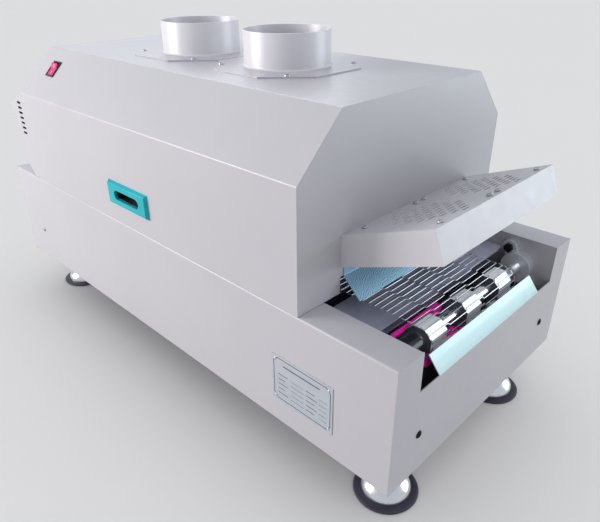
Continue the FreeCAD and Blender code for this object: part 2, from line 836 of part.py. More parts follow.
def cowl_top():
    """Top sheet of the cowl with a round field of staggered slots over each fan."""
    half, back = cowl_width / 2, -cowl_depth
    corners = [V(back, -half, 0), V(cowl_length, -half, 0), V(cowl_length, half, 0), V(back, half, 0)]
    holes = []
    rows = int(grille_diameter / grille_row_pitch / 2)
    for u, y in fan_places():
        for row in range(-rows, rows + 1):
            stagger = 0.0 if row % 2 == 0 else grille_slot_pitch / 2
            cols = int(grille_diameter / grille_slot_pitch / 2) + 1
            for col in range(-cols, cols + 1):
                du, dy = row * grille_row_pitch, col * grille_slot_pitch + stagger
                if math.hypot(du, abs(dy) + grille_slot_length / 2) < grille_diameter / 2:
                    slot = stadium(grille_slot_length, grille_slot_width)
                    slot.Placement = FreeCAD.Placement(V(u + du, y + dy, 0), FreeCAD.Rotation(V(0, 0, 1), 90))
                    slot.reverse()
                    holes.append(slot)
    for u, y in fan_screw_places():
        ring = Part.Wire(Part.makeCircle(screw_diameter / 2, V(u, y, 0)))
        ring.reverse()
        holes.append(ring)
    face = Part.Face([Part.makePolygon(corners + corners[:1])] + holes)
    return solid(face.extrude(V(0, 0, -sheet)))


def outlet_cowl():
    """Sloping fan box on the hood's outlet end, open below, with a flange against the hood's end plate."""
    half, back = cowl_width / 2, -cowl_depth
    walls = [block(back, cowl_length, s - sheet / 2, s + sheet / 2, -cowl_depth, -sheet / 2)
             for s in (sheet / 2 - half, half - sheet / 2)]
    end = block(cowl_length - sheet, cowl_length, -half, half, -cowl_depth, -sheet / 2)
    shell = on_cowl(cowl_top().fuse(walls + [end]).removeSplitter())
    far = 4 * cowl_length
    root = base_top + cowl_root
    shell = shell.cut(block(hood_x1 - far, hood_x1, -far, far, root - far, root + far))
    drop = cowl_depth / math.cos(math.radians(cowl_tilt))
    flange = block(hood_x1, hood_x1 + sheet, -half, half, root - drop, root - sheet / 2)
    return shell.fuse(flange).removeSplitter()


def fan_frame(u, y):
    """Square fan housing with a round bore and a hub seat held by four struts at its outlet side."""
    half, top = fan_side / 2, -sheet
    body = block(u - half, u + half, y - half, y + half, top - fan_depth, top)
    body = body.cut(rod(u, y, top - fan_depth - 1, "z", fan_bore, fan_depth + 2))
    for a in (-1, 1):
        for b in (-1, 1):
            d = fan_hole_spacing / 2
            body = body.cut(rod(u + a * d, y + b * d, top - fan_depth - 1, "z", screw_diameter, fan_depth + 2))
    low = top - fan_depth
    ring = block(u - fan_bore / 2 - 1, u + fan_bore / 2 + 1, y - fan_strut_width / 2, y + fan_strut_width / 2,
                 low, low + fan_back)
    cross = block(u - fan_strut_width / 2, u + fan_strut_width / 2, y - fan_bore / 2 - 1, y + fan_bore / 2 + 1,
                  low, low + fan_back)
    seat = rod(u, y, low, "z", fan_hub_diameter, fan_back)
    pin = rod(u, y, low, "z", fan_pin_diameter, fan_depth - 2 * touch_gap)
    return on_cowl(body.fuse([ring, cross, seat, pin]).removeSplitter())


def fan_rotor(u, y):
    """Hub with pitched blades, turning on the housing's pin."""
    low = -sheet - fan_depth + fan_back + touch_gap
    high = -sheet - 4 * touch_gap
    hub = rod(u, y, low, "z", fan_hub_diameter, high - low)
    blades = []
    for k in range(fan_blade_count):
        reach = fan_blade_tip / 2 - fan_hub_diameter / 4
        blade = Part.makeBox(reach, fan_blade_thickness, fan_blade_width,
                             V(0, -fan_blade_thickness / 2, -fan_blade_width / 2))
        blade.rotate(V(0, 0, 0), V(1, 0, 0), fan_blade_pitch)
        blade.translate(V(fan_hub_diameter / 4, 0, 0))
        blade.rotate(V(0, 0, 0), V(0, 0, 1), 360.0 * k / fan_blade_count)
        blade.translate(V(u, y, (low + high) / 2))
        blades.append(blade)
    rotor = hub.fuse(blades).removeSplitter()
    sweep = rod(u, y, low, "z", fan_blade_tip, high - low)
    rotor = rotor.common(sweep)
    bore = rod(u, y, low - 1, "z", fan_pin_diameter + 2 * run_clearance, fan_depth)
    return on_cowl(rotor.cut(bore))


def cowl_screws():
    return [on_cowl(screw(u, y, 0, V(0, 0, 1), screw_head_diameter, screw_head_height,
                          screw_diameter - 2 * run_clearance, screw_length)) for u, y in fan_screw_places()]


def outlet_flap():
    """Bright sheet that slants from the tunnel's top edge down over the belt."""
    z = base_top + tunnel_height
    slant = math.hypot(flap_reach, flap_drop)
    nx, nz = sheet * flap_drop / slant, sheet * flap_reach / slant
    x = hood_x1
    sheet_outline = [(x, z), (x + flap_reach, z - flap_drop), (x + flap_reach + nx, z - flap_drop + nz),
                     (x + nx, z + nz)]
    slope = prism(sheet_outline, "y", -flap_half_width, flap_half_width)
    tab = block(x, x + sheet, -flap_half_width, flap_half_width, z, z + flap_tab)
    return slope.fuse(tab).removeSplitter()


def console_outline():
    """Section of the console: sloping top, pointed front, upright skirt and a foot over the belt."""
    rows = [(0.0, console_top), (console_reach, console_tip), (console_waist, console_knee),
            (console_waist, console_skirt), (console_foot_reach, console_foot), (0.0, console_foot)]
    return [V(hood_x0 - reach, 0, base_top + rise) for reach, rise in rows]


def console():
    """Hollow control box across the hood's inlet end, with a return flange and vents in its front wall."""
    corners = console_outline()
    section = Part.Face(Part.makePolygon(corners + corners[:1]))
    inside = section.makeOffset2D(-sheet, 2)
    section.translate(V(0, -half_width, 0))
    inside.translate(V(0, sheet - half_width, 0))
    body = solid(section.extrude(V(0, base_width, 0)))
    body = body.cut(solid(inside.extrude(V(0, base_width - 2 * sheet, 0))))
    y = half_width - sheet - console_flange
    body = body.cut(block(hood_x0 - 2 * sheet, hood_x0 + 1, -y, y, base_top + console_foot + console_flange,
                          base_top + console_top - console_flange))
    for k in range(vent_count):
        slot = solid(Part.Face(stadium(vent_length, vent_width)).extrude(V(0, 0, 3 * sheet)))
        at = V(hood_x0 - vent_from_hood, 2 * sheet - half_width, base_top + vent_rise + k * vent_pitch)
        slot.Placement = FreeCAD.Placement(at, FreeCAD.Rotation(V(1, 0, 0), 90))
        body = body.cut(slot)
    return body


def keypad():
    """Flat keypad with its display window, on the console's sloping top."""
    rise = console_top - console_tip
    slope = math.hypot(console_reach, rise)
    half, wide = keypad_height / 2, keypad_width / 2
    panel = block(-half, half, -wide, wide, 0, keypad_thickness)
    at = V(hood_x0 - console_reach / 2, 0, base_top + (console_top + console_tip) / 2)
    turn = -math.degrees(math.asin(rise / slope))
    panel.Placement = FreeCAD.Placement(at, FreeCAD.Rotation(V(0, 1, 0), turn))
    return panel


def handle_frame():
    """Raised oblong frame round the finger recess, bevelled towards its outer edge."""
    z, y0, y1 = base_top + handle_rise, -half_width, -half_width - handle_stand
    w, h = handle_width / 2, handle_height / 2
    back = [V(a, y0, b) for a, b in ((-w, -h), (w, -h), (w, h), (-w, h))]
    w, h = w - handle_bevel, h - handle_bevel
    front = [V(a, y1, b) for a, b in ((-w, -h), (w, -h), (w, h), (-w, h))]
    wires = [Part.makePolygon(c + c[:1]) for c in (back, front)]
    body = solid(Part.makeLoft(wires, True, True))
    grip = solid(Part.Face(stadium(grip_width, grip_height)).extrude(V(0, 0, 2 * handle_stand)))
    grip.Placement = FreeCAD.Placement(V(0, y0 + handle_stand / 2, 0), FreeCAD.Rotation(V(1, 0, 0), 90))
    body = body.cut(grip)
    body.translate(V(handle_x, 0, z))
    return body


def handle_cup():
    """Finger cup behind the frame, open at the front."""
    z, y0 = base_top + handle_rise, -half_width
    gap = touch_gap / 2
    w, h = grip_width / 2 + cup_wall - gap, grip_height / 2 + cup_wall - gap
    outer = block(handle_x - w, handle_x + w, y0, y0 + cup_depth, z - h, z + h)
    w, h = w - cup_wall, h - cup_wall
    return outer.cut(block(handle_x - w, handle_x + w, y0 - 1, y0 + cup_depth - cup_wall, z - h, z + h))


def switch_bezel():
    """Switch frame with its body behind the hood's chamfer."""
    w, l = bezel_width / 2, bezel_length / 2
    frame = block(-w, w, -l, l, 0, bezel_stand)
    bw, bl = w - bezel_border / 2 - touch_gap / 2, l - bezel_border / 2 - touch_gap / 2
    body = block(-bw, bw, -bl, bl, -switch_body_depth, bezel_stand / 2)
    ow, ol = w - bezel_border, l - bezel_border
    case = frame.fuse(body).removeSplitter()
    case = case.cut(block(-ow, ow, -ol, ol, -switch_body_depth + 2 * sheet, bezel_stand + 1))
    pin = rod(-ow - bezel_border / 4, 0, -rocker_pivot_depth, "x", rocker_pin_diameter,
              2 * ow + bezel_border / 2)
    return on_slope(case.fuse(pin).removeSplitter())


def rocker():
    """Two-winged rocker on the switch's pin, tipped so that its upper wing stands out."""
    w, d = bezel_width / 2 - bezel_border - rocker_gap, rocker_pivot_depth
    half, low = rocker_half_length, -d - rocker_pin_diameter
    root = rocker_root_half
    outline = [(-half, rocker_wing), (0, rocker_valley), (half, rocker_wing), (root, low), (-root, low)]
    body = prism(outline, "x", -w, w)
    bore = rod(-w - 1, 0, -d, "x", rocker_pin_diameter + 2 * run_clearance, 2 * w + 2)
    body = body.cut(bore)
    body.rotate(V(0, 0, -d), V(1, 0, 0), rocker_throw)
    placed = body.copy()
    half_root = math.sqrt(0.5)
    at = V(switch_x, -half_width + switch_up_slope * half_root, chamfer_z + switch_up_slope * half_root)
    move = FreeCAD.Placement(at, FreeCAD.Rotation(V(1, 0, 0), 45))
    placed.Placement = move.multiply(placed.Placement)
    return placed


def hinge_middles():
    first = hood_middle - (hinge_count - 1) / 2 * hinge_spacing
    return [first + k * hinge_spacing for k in range(hinge_count)]


def hinge_leaf_piece(x, upper):
    """One leaf with its share of the knuckles: the base leaf has the odd ones, the hood leaf the even ones."""
    side = 1 if upper else -1
    free = hinge_z + side * (knuckle_radius + knuckle_gap)
    far = free + side * hinge_leaf_height
    y0 = half_width
    step = hinge_length / knuckle_count
    x0 = x - hinge_length / 2
    leaf = block(x0, x0 + hinge_length, y0, y0 + hinge_leaf, min(free, far), max(free, far))
    for k in range(1 if upper else 0, knuckle_count, 2):
        a, b = x0 + k * step + knuckle_gap / 2, x0 + (k + 1) * step - knuckle_gap / 2
        leaf = leaf.fuse(rod(a, hinge_y, hinge_z, "x", 2 * knuckle_radius, b - a))
        leaf = leaf.fuse(block(a, b, y0 + hinge_stand, y0 + hinge_leaf, min(hinge_z, free),
                               max(hinge_z, free)))
    radius = pin_radius + (run_clearance if upper else run_clearance / 2)
    leaf = leaf.cut(rod(x0 - 1, hinge_y, hinge_z, "x", 2 * radius, hinge_length + 2))
    return leaf.removeSplitter()


def hinge_pins():
    return [rod(x - hinge_length / 2, hinge_y, hinge_z, "x", 2 * pin_radius, hinge_length)
            for x in hinge_middles()]


def rivet_places():
    w, h = plate_width / 2 - rivet_inset, plate_height / 2 - rivet_inset
    return [(plate_x + a * w, base_bottom + plate_rise + b * h) for a in (-1, 1) for b in (-1, 1)]


def nameplate():
    z = base_bottom + plate_rise
    y = -half_width - plate_thickness
    plate = block(plate_x - plate_width / 2, plate_x + plate_width / 2, y, -half_width,
                  z - plate_height / 2, z + plate_height / 2)
    for x, rz in rivet_places():
        plate = plate.cut(rod(x, y - 1, rz, "y", rivet_diameter / 2, plate_thickness + 2))
    return plate


def nameplate_rivets():
    y = -half_width - plate_thickness
    return [screw(x, y, z, V(0, -1, 0), rivet_diameter, rivet_stand, rivet_diameter / 2 - 2 * run_clearance,
                  plate_thickness + sheet) for x, z in rivet_places()]


def panel_screws():
    """Screws through the end panels into the frame tabs, and one at the front by the inlet end."""
    shank = screw_diameter - 2 * run_clearance
    z = base_bottom + panel_screw_rise
    items = []
    for end in (-1, 1):
        for side in (-1, 1):
            items.append(screw(end * half_length, side * tab_screw_y(), z, V(end, 0, 0),
                               panel_screw_head_diameter, panel_screw_head_height, shank, sheet + frame_plate))
    items.append(screw(corner_screw_inset - half_length, -half_width, base_bottom + corner_screw_rise,
                       V(0, -1, 0), screw_head_diameter, screw_head_height, shank, screw_length))
    return items


def foot_rubbers():
    r, seat = foot_diameter / 2, foot_cup_diameter / 2 + touch_gap
    h, low = foot_rubber_height, foot_cup_seat
    outline = [(0, 0), (r - foot_edge, 0), (r, foot_edge), (r, h - foot_shoulder), (seat + foot_lip, h),
               (seat, h), (seat, low), (0, low)]
    return [turned(outline, x, y) for x, y in foot_places]


def foot_cups():
    """Pressed steel cups that sit in the rubber and take the studs."""
    r, neck, low = foot_cup_diameter / 2, foot_cup_neck / 2, foot_cup_seat
    bore = stud_diameter / 2 + run_clearance
    top = low + foot_cup_height
    rows = [(bore, low), (r, low), (r, foot_rubber_height)]
    steps = 8
    for k in range(1, steps + 1):
        a = math.radians(90.0 * k / steps)
        rows.append((neck + (r - neck) * math.cos(a),
                     foot_rubber_height + (top - foot_rubber_height) * math.sin(a)))
    rows.append((bore, top))
    return [turned(rows, x, y) for x, y in foot_places]


def foot_studs():
    low = foot_cup_seat
    return [rod(x, y, low, "z", stud_diameter, pan_top + stud_above_pan - low) for x, y in foot_places]


def foot_nuts():
    """A nut above and one below the pan on every stud."""
    nuts = []
    for x, y in foot_places:
        for z in (base_bottom - stud_nut_height, pan_top):
            corners = [(x + a, y + b) for a, b in polygon(6, stud_nut_flats / math.sqrt(3))]
            nut = prism(corners, "z", z, z + stud_nut_height)
            nuts.append(nut.cut(rod(x, y, z - 1, "z", stud_diameter + 2 * run_clearance, stud_nut_height + 2)))
    return nuts


def power_supply():
    l, w, h = supply_size
    return block(supply_x - l / 2, supply_x + l / 2, -w / 2, w / 2, pan_top, pan_top + h)


def relays():
    l, w, h = relay_size
    middles = [relay_x + k * relay_spacing for k in range(relay_count)]
    return [block(x - l / 2, x + l / 2, -w / 2, w / 2, pan_top, pan_top + h) for x in middles]


def lead_loom():
    """Leads from the power supply to the motor, lying on the pan in front of the relays."""
    z = pan_top + loom_diameter / 2 + touch_gap
    y_mid = -relay_size[1] / 2 - 2 * loom_bend
    x0 = supply_x + supply_size[0] / 2 + touch_gap
    y0 = loom_diameter - supply_size[1] / 2
    x1 = motor_x - motor_body_side / 2 - 2 * loom_bend
    route = [V(x0, y0, z), V(x0 + loom_lead, y0, z), V(x0 + 2 * loom_bend, y_mid, z), V(x1, y_mid, z),
             V(motor_x, y_mid + loom_bend, z)]
    return swept_tube(route, loom_diameter, loom_turn)


def swept_tube(points, diameter, bend):
    """Round tube along straight runs joined by tangent arcs."""
    edges = []
    start = points[0]
    for before, corner, after in zip(points, points[1:], points[2:]):
        into, out = (corner - before).normalize(), (after - corner).normalize()
        turn = into.getAngle(out)
        back = min(bend * math.tan(turn / 2), 0.45 * (corner - before).Length, 0.45 * (after - corner).Length)
        a, b = corner - into * back, corner + out * back
        lean = (out - into).normalize()
        radius = back / math.tan(turn / 2)
        middle = corner + lean * (radius / math.cos(turn / 2) - radius)
        edges += [Part.makeLine(start, a), Part.Arc(a, middle, b).toShape()]
        start = b
    edges.append(Part.makeLine(start, points[-1]))
    path = Part.Wire(edges)
    ring = Part.Wire(Part.makeCircle(diameter / 2, points[0], (points[1] - points[0]).normalize()))
    return solid(path.makePipeShell([ring], True, True))


def power_inlet():
    """Flush mains inlet in the back wall, with three contact pins."""
    z = base_bottom + inlet_rise
    w, h = inlet_width / 2 - touch_gap, inlet_height / 2 - touch_gap
    fw, fh = inlet_width / 2 + inlet_flange_border, inlet_height / 2 + inlet_flange_border
    y = half_width
    flange = block(inlet_x - fw, inlet_x + fw, y, y + inlet_flange, z - fh, z + fh)
    body = flange.fuse(block(inlet_x - w, inlet_x + w, y - inlet_depth, y, z - h, z + h)).removeSplitter()
    cw, ch = w - 2 * cup_wall, h - 2 * cup_wall
    floor = y - inlet_depth + 2 * cup_wall
    body = body.cut(block(inlet_x - cw, inlet_x + cw, floor, y + inlet_flange + 1, z - ch, z + ch))
    for k in (-1, 0, 1):
        body = body.fuse(rod(inlet_x + k * inlet_width / 4, floor - cup_wall, z, "y", inlet_pin_diameter,
                             inlet_depth - 3 * cup_wall))
    return body.removeSplitter()


PIECES = {
    "base_shell": base_shell(),
    "outlet_end_panel": end_panel(1),
    "inlet_end_panel": end_panel(-1),
    "front_side_frame": side_frame(-1),
    "back_side_frame": side_frame(1),
    "panel_screws": panel_screws(),
    "nameplate": nameplate(),
    "nameplate_rivets": nameplate_rivets(),
    "power_inlet": power_inlet(),
    "foot_rubbers": foot_rubbers(),
    "foot_cups": foot_cups(),
    "foot_studs": foot_studs() + foot_nuts(),
    "lower_deck": lower_deck(),
    "belt_support_rods": support_rods(),
    "wire_belt": wire_belt(),
    "drive_bearings": [flange_bearing(drum_x, s) for s in (-1, 1)],
    "tail_bearings": [flange_bearing(-drum_x, s) for s in (-1, 1)],
    "bearing_bolts": bearing_bolts(),
    "drive_shaft": belt_shaft(drum_x, True),
    "drive_drums": belt_drums(drum_x),
    "drive_collar": shaft_collar(drum_x),
    "drive_sprocket": sprocket(drum_x, drum_z, drive_teeth, shaft_journal_diameter),
    "tail_shaft": belt_shaft(-drum_x, False),
    "tail_drums": belt_drums(-drum_x),
    "gearmotor": gearmotor(),
    "motor_shaft": motor_shaft(),
    "motor_sprocket": sprocket(motor_x, motor_z, motor_teeth, motor_shaft_diameter),
    "drive_chain": drive_chain(),
    "lower_heater_tray": lower_tray(),
    "lower_heater_tubes": lower_heaters(),
    "power_supply": power_supply(),
    "heater_relays": relays(),
    "lead_loom": lead_loom(),
    "hinge_base_leaves": [hinge_leaf_piece(x, False) for x in hinge_middles()],
    "hinge_pins": hinge_pins(),
    "hinge_hood_leaves": [hinge_leaf_piece(x, True) for x in hinge_middles()],
    "hood_skin": hood_skin(),
    "hood_outlet_plate": hood_end_plate(hood_x1 - sheet),
    "hood_inlet_plate": hood_end_plate(hood_x0),
    "upper_heater_tray": upper_tray(),
    "upper_heater_tubes": upper_heaters(),
    "hood_insulation": hood_insulation(),
    "temperature_probes": probes(),
    "inlet_side_exhaust_plate": spigot_plate(spigot_xs[0]),
    "outlet_side_exhaust_plate": spigot_plate(spigot_xs[1]),
    "inlet_side_exhaust_spigot": spigot(spigot_xs[0]),
    "outlet_side_exhaust_spigot": spigot(spigot_xs[1]),
    "exhaust_screws": spigot_screws(),
    "handle_frame": handle_frame(),
    "handle_cup": handle_cup(),
    "switch_bezel": switch_bezel(),
    "switch_rocker": rocker(),
    "control_console": console(),
    "console_keypad": keypad(),
    "outlet_cowl": outlet_cowl(),
    "fan_frames": [fan_frame(u, y) for u, y in fan_places()],
    "front_fan_rotor": fan_rotor(*fan_places()[0]),
    "back_fan_rotor": fan_rotor(*fan_places()[1]),
    "cowl_screws": cowl_screws(),
    "outlet_flap": outlet_flap(),
}

os.makedirs("parts", exist_ok=True)
for name, piece in PIECES.items():
    shape = Part.makeCompound(piece) if isinstance(piece, list) else piece
    shape.exportStep("parts/" + name + ".step")
    print(name, len(shape.Solids), "solids", "valid" if shape.isValid() else "NOT VALID", round(shape.Volume))
print(len(PIECES), "nodes")
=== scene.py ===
import json
import math

import bmesh
import bpy
from mathutils import Matrix, Vector

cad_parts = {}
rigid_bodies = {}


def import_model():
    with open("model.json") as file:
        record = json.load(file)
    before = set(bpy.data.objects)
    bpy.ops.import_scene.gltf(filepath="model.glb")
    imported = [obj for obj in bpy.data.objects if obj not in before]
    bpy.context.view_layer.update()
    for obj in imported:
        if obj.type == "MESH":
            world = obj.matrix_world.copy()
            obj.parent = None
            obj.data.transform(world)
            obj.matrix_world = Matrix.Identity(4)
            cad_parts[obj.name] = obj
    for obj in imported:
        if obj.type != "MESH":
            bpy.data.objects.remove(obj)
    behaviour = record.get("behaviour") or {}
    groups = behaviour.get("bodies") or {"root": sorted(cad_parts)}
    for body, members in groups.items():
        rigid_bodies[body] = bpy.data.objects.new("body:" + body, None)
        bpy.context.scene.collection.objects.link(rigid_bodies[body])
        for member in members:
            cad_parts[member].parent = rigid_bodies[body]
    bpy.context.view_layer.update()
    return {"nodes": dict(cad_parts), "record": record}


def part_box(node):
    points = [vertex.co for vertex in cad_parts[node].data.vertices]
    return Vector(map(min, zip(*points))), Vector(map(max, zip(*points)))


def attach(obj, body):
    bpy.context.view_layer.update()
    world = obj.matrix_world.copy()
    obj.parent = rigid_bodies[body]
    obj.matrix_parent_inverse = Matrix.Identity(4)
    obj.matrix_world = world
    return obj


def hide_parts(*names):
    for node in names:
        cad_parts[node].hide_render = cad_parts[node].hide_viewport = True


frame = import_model()
nodes = frame["nodes"]

MM = 0.001

# Camera, at the photograph's viewing angle
PHOTO_WIDTH = 600
FOCAL_PIXELS = 571.3
SENSOR = 36.0
EYE = Vector((0.7144, -0.6061, 0.6351))
AIM = Vector((0.1184, 0.0, 0.1820))
ROLL = math.radians(0.40)

# Belt, as on the two rollers
WIRE_DIAMETER = 1.5 * MM
WIRE_PITCH = 9.3 * MM
BELT_LANES = 5
BELT_WIDTH = 212 * MM
LANE_JOG = 0.16 * WIRE_PITCH
BELT_HALF_THICKNESS = 2 * MM

# Where the gearmotor's red stops: faces further back are dark, and faces lower down are dark as painted shade
MOTOR_RED_END = 28 * MM
MOTOR_PAINTED_SHADE_TOP = 172 * MM

# Sizes of the finish
FOLD_EASE = 0.5 * MM
SMOOTH_ANGLE = math.radians(32)
EASE_ANGLE = math.radians(40)
FLAT_ANGLE = math.radians(0.6)
MERGE_DISTANCE = 1e-6
SQUARE_ON = 0.8
LATHE_STEPS = 96
HEAD_STEPS = 24
FOOT_STEPS = 80
SPIGOT_STEPS = 128

# Screws, bolts and rivets
PAN_DIAMETER, PAN_HEIGHT, PAN_REACH, LONG_PAN_REACH = 8 * MM, 2.4 * MM, 3.5 * MM, 7.5 * MM
WIDE_PAN_DIAMETER, WIDE_PAN_HEIGHT, WIDE_PAN_REACH = 10.5 * MM, 2.0 * MM, 4.0 * MM
CROSS_SLOT = 1.4 * MM
SCREW_SHANK = 3.9 * MM
COWL_SCREW_LENGTH = 8 * MM
BOLT_FLATS, BOLT_HEIGHT, BOLT_SHANK, BOLT_REACH = 13 * MM, 5.5 * MM, 8 * MM, 9 * MM
RIVET_DIAMETER, RIVET_HEIGHT, RIVET_SHANK, RIVET_REACH = 4.2 * MM, 1.2 * MM, 1.9 * MM, 2 * MM
RIVET_STAND = 1.0 * MM
SLOT_TWIST = 0.9
END_SCREW_SPREAD = 200 * MM

# Slopes that pieces stand on
COWL_TILT = math.radians(21)
COWL_UP = Vector((-math.sin(COWL_TILT), 0, math.cos(COWL_TILT)))
CHAMFER_TILT = math.radians(45)
ROCKER_THROW = math.radians(10)
ROCKER_PIVOT_DEPTH = 5 * MM
BEZEL_STAND = 2.2 * MM
WING_SLOPE = math.atan2(2.2, 11.0)
WING_MIDDLE, WING_HEIGHT = 5.8 * MM, 2.36 * MM

# Bent-in lips of the end panels, whose upward faces carry a painted sky reflection
LIP_HALF_WIDTH = 130 * MM
LIP_SLOPE = (0.3, 0.9)
PANEL_FACE = 467.5 * MM

# Console keypad: film, display window and keys
FILM_HALF_LENGTH, FILM_HALF_THICKNESS = 23 * MM, 0.5 * MM
WINDOW_ENDS, WINDOW_MARGINS, WINDOW_HEIGHT = (-9 * MM, 16 * MM), (14 * MM, 76 * MM), 0.5 * MM
KEY_ROWS, KEY_COLUMNS = 2, 3
KEY_ROW_PITCH, KEY_COLUMN_PITCH = 19 * MM, 22 * MM
KEY_HALF_LENGTH, KEY_HALF_WIDTH, KEY_HEIGHT = 6.5 * MM, 8 * MM, 0.9 * MM
FIRST_KEY, FIRST_KEY_MARGIN = -9.5 * MM, 58 * MM


# Materials

def tree_of(name):
    material = bpy.data.materials.new(name)
    material.use_nodes = True
    return material, material.node_tree.nodes, material.node_tree.links


def object_coordinates(tree_nodes, links, stretch):
    place = tree_nodes.new("ShaderNodeTexCoord")
    turn = tree_nodes.new("ShaderNodeMapping")
    turn.inputs["Scale"].default_value = stretch
    links.new(place.outputs["Object"], turn.inputs["Vector"])
    return turn.outputs["Vector"]


def noise(tree_nodes, links, where, scale, detail=4.0):
    grain = tree_nodes.new("ShaderNodeTexNoise")
    grain.inputs["Scale"].default_value = scale
    grain.inputs["Detail"].default_value = detail
    links.new(where, grain.inputs["Vector"])
    return grain.outputs["Fac"]


def two_tones(tree_nodes, links, fac, low, high, start=0.3, end=0.7):
    ramp = tree_nodes.new("ShaderNodeValToRGB")
    ramp.color_ramp.elements[0].position = start
    ramp.color_ramp.elements[1].position = end
    ramp.color_ramp.elements[0].color = (*low, 1)
    ramp.color_ramp.elements[1].color = (*high, 1)
    links.new(fac, ramp.inputs["Fac"])
    return ramp.outputs["Color"]


def spread(tree_nodes, links, fac, low, high):
    scale = tree_nodes.new("ShaderNodeMapRange")
    scale.inputs["From Min"].default_value = 0.3
    scale.inputs["From Max"].default_value = 0.7
    scale.inputs["To Min"].default_value = low
    scale.inputs["To Max"].default_value = high
    links.new(fac, scale.inputs["Value"])
    return scale.outputs["Result"]


def relief(tree_nodes, links, fac, depth, strength):
    bump = tree_nodes.new("ShaderNodeBump")
    bump.inputs["Distance"].default_value = depth
    bump.inputs["Strength"].default_value = strength
    links.new(fac, bump.inputs["Height"])
    return bump.outputs["Normal"]


def surface(name, tone, vary=0.04, blotch=9.0, rough=(0.4, 0.5), rough_scale=60.0, grain=700.0,
            depth=0.2 * MM, strength=0.15, stretch=(1, 1, 1), **sockets):
    """A finish with a slow change of tone, uneven gloss and a fine relief.

    Other sockets take one value each.
    """
    material, tree_nodes, links = tree_of(name)
    shader = tree_nodes["Principled BSDF"]
    where = object_coordinates(tree_nodes, links, stretch)
    low = [max(c * (1 - vary), 0) for c in tone]
    high = [min(c * (1 + vary), 1) for c in tone]
    links.new(two_tones(tree_nodes, links, noise(tree_nodes, links, where, blotch), low, high),
              shader.inputs["Base Color"])
    links.new(spread(tree_nodes, links, noise(tree_nodes, links, where, rough_scale), *rough),
              shader.inputs["Roughness"])
    links.new(relief(tree_nodes, links, noise(tree_nodes, links, where, grain, 2.0), depth, strength),
              shader.inputs["Normal"])
    for socket, value in sockets.items():
        shader.inputs[socket.replace("_", " ")].default_value = value
    return material


def swirled_sheet(name, tone):
    """Bright sheet with the fine overlapping swirls of a polishing pad."""
    material, tree_nodes, links = tree_of(name)
    shader = tree_nodes["Principled BSDF"]
    where = object_coordinates(tree_nodes, links, (1, 1, 1))
    swirl = tree_nodes.new("ShaderNodeTexWave")
    swirl.wave_type = "RINGS"
    swirl.inputs["Scale"].default_value = 170.0
    swirl.inputs["Distortion"].default_value = 12.0
    swirl.inputs["Detail"].default_value = 3.0
    swirl.inputs["Detail Scale"].default_value = 0.5
    links.new(where, swirl.inputs["Vector"])
    low = [c * 0.90 for c in tone]
    links.new(two_tones(tree_nodes, links, swirl.outputs["Fac"], low, tone, 0.0, 1.0),
              shader.inputs["Base Color"])
    links.new(spread(tree_nodes, links, swirl.outputs["Fac"], 0.27, 0.31), shader.inputs["Roughness"])
    links.new(relief(tree_nodes, links, swirl.outputs["Fac"], 0.1 * MM, 0.03), shader.inputs["Normal"])
    shader.inputs["Metallic"].default_value = 0.55
    return material


POWDER_COAT = surface("powder_coat", (0.455, 0.442, 0.468), vary=0.02, blotch=5.0, rough=(0.30, 0.38),
                      grain=1400.0, depth=0.12 * MM, strength=0.08)
GALVANISED = surface("galvanised_sheet", (0.54, 0.54, 0.66), vary=0.14, blotch=45.0, rough=(0.36, 0.5),
                     grain=300.0, strength=0.06, Metallic=0.35)
# The outlet flap's bluish tone is a painted sky reflection on the swirled bare sheet
SWIRLED_SHEET_SKY_TINT = swirled_sheet("swirled_sheet_painted_sky_tint", (0.36, 0.62, 0.82))
# Pale bluish tone of the end panels' lips: painted sky reflection and highlight on bare sheet
LIP_PAINTED_SKY_SHEEN = surface("lip_painted_sky_reflection", (0.70, 0.96, 1.0), vary=0.025, blotch=14.0, rough=(0.24, 0.34),
                    grain=500.0, strength=0.03)
BELT_WIRE = surface("stainless_wire", (0.60, 0.61, 0.66), vary=0.06, blotch=120.0, rough=(0.30, 0.42),
                    grain=1500.0, strength=0.05, Metallic=0.8)
POLISHED_STEEL = surface("polished_steel", (0.80, 0.82, 0.84), vary=0.04, blotch=60.0, rough=(0.16, 0.27),
                         rough_scale=200.0, grain=900.0, strength=0.03, Metallic=1.0)
DRUM_STEEL = surface("milled_drum_steel", (0.88, 0.90, 0.93), vary=0.02, blotch=80.0, rough=(0.26, 0.36),
                     rough_scale=220.0, grain=1200.0, strength=0.04, stretch=(1, 0.15, 1), Metallic=0.25)
BEARING_IRON = surface("cast_bearing_iron", (0.47, 0.49, 0.53), vary=0.10, blotch=120.0, rough=(0.30, 0.45),
                       grain=420.0, strength=0.2, Metallic=0.55)
BLACK_STEEL = surface("blackened_steel", (0.018, 0.019, 0.023), vary=0.3, blotch=90.0, rough=(0.12, 0.20),
                      grain=800.0, strength=0.04, Metallic=0.3)
DARK_STEEL = surface("drum_end_dark_steel", (0.075, 0.08, 0.095), vary=0.3, blotch=90.0, rough=(0.30, 0.45),
                     grain=700.0, strength=0.08, Metallic=0.4)
RED_ENAMEL = surface("red_enamel", (0.95, 0.03, 0.50), vary=0.08, blotch=40.0, rough=(0.25, 0.38),
                     grain=600.0, strength=0.06)
# Near-black, dull screw heads on the end panels: painted shade of the dark recess there
SCREW_PAINTED_RECESS_SHADE = surface("screw_painted_recess_shade", (0.010, 0.010, 0.013), vary=0.2, blotch=200.0, rough=(0.6, 0.75),
                      grain=900.0, strength=0.04, Specular_IOR_Level=0.2)
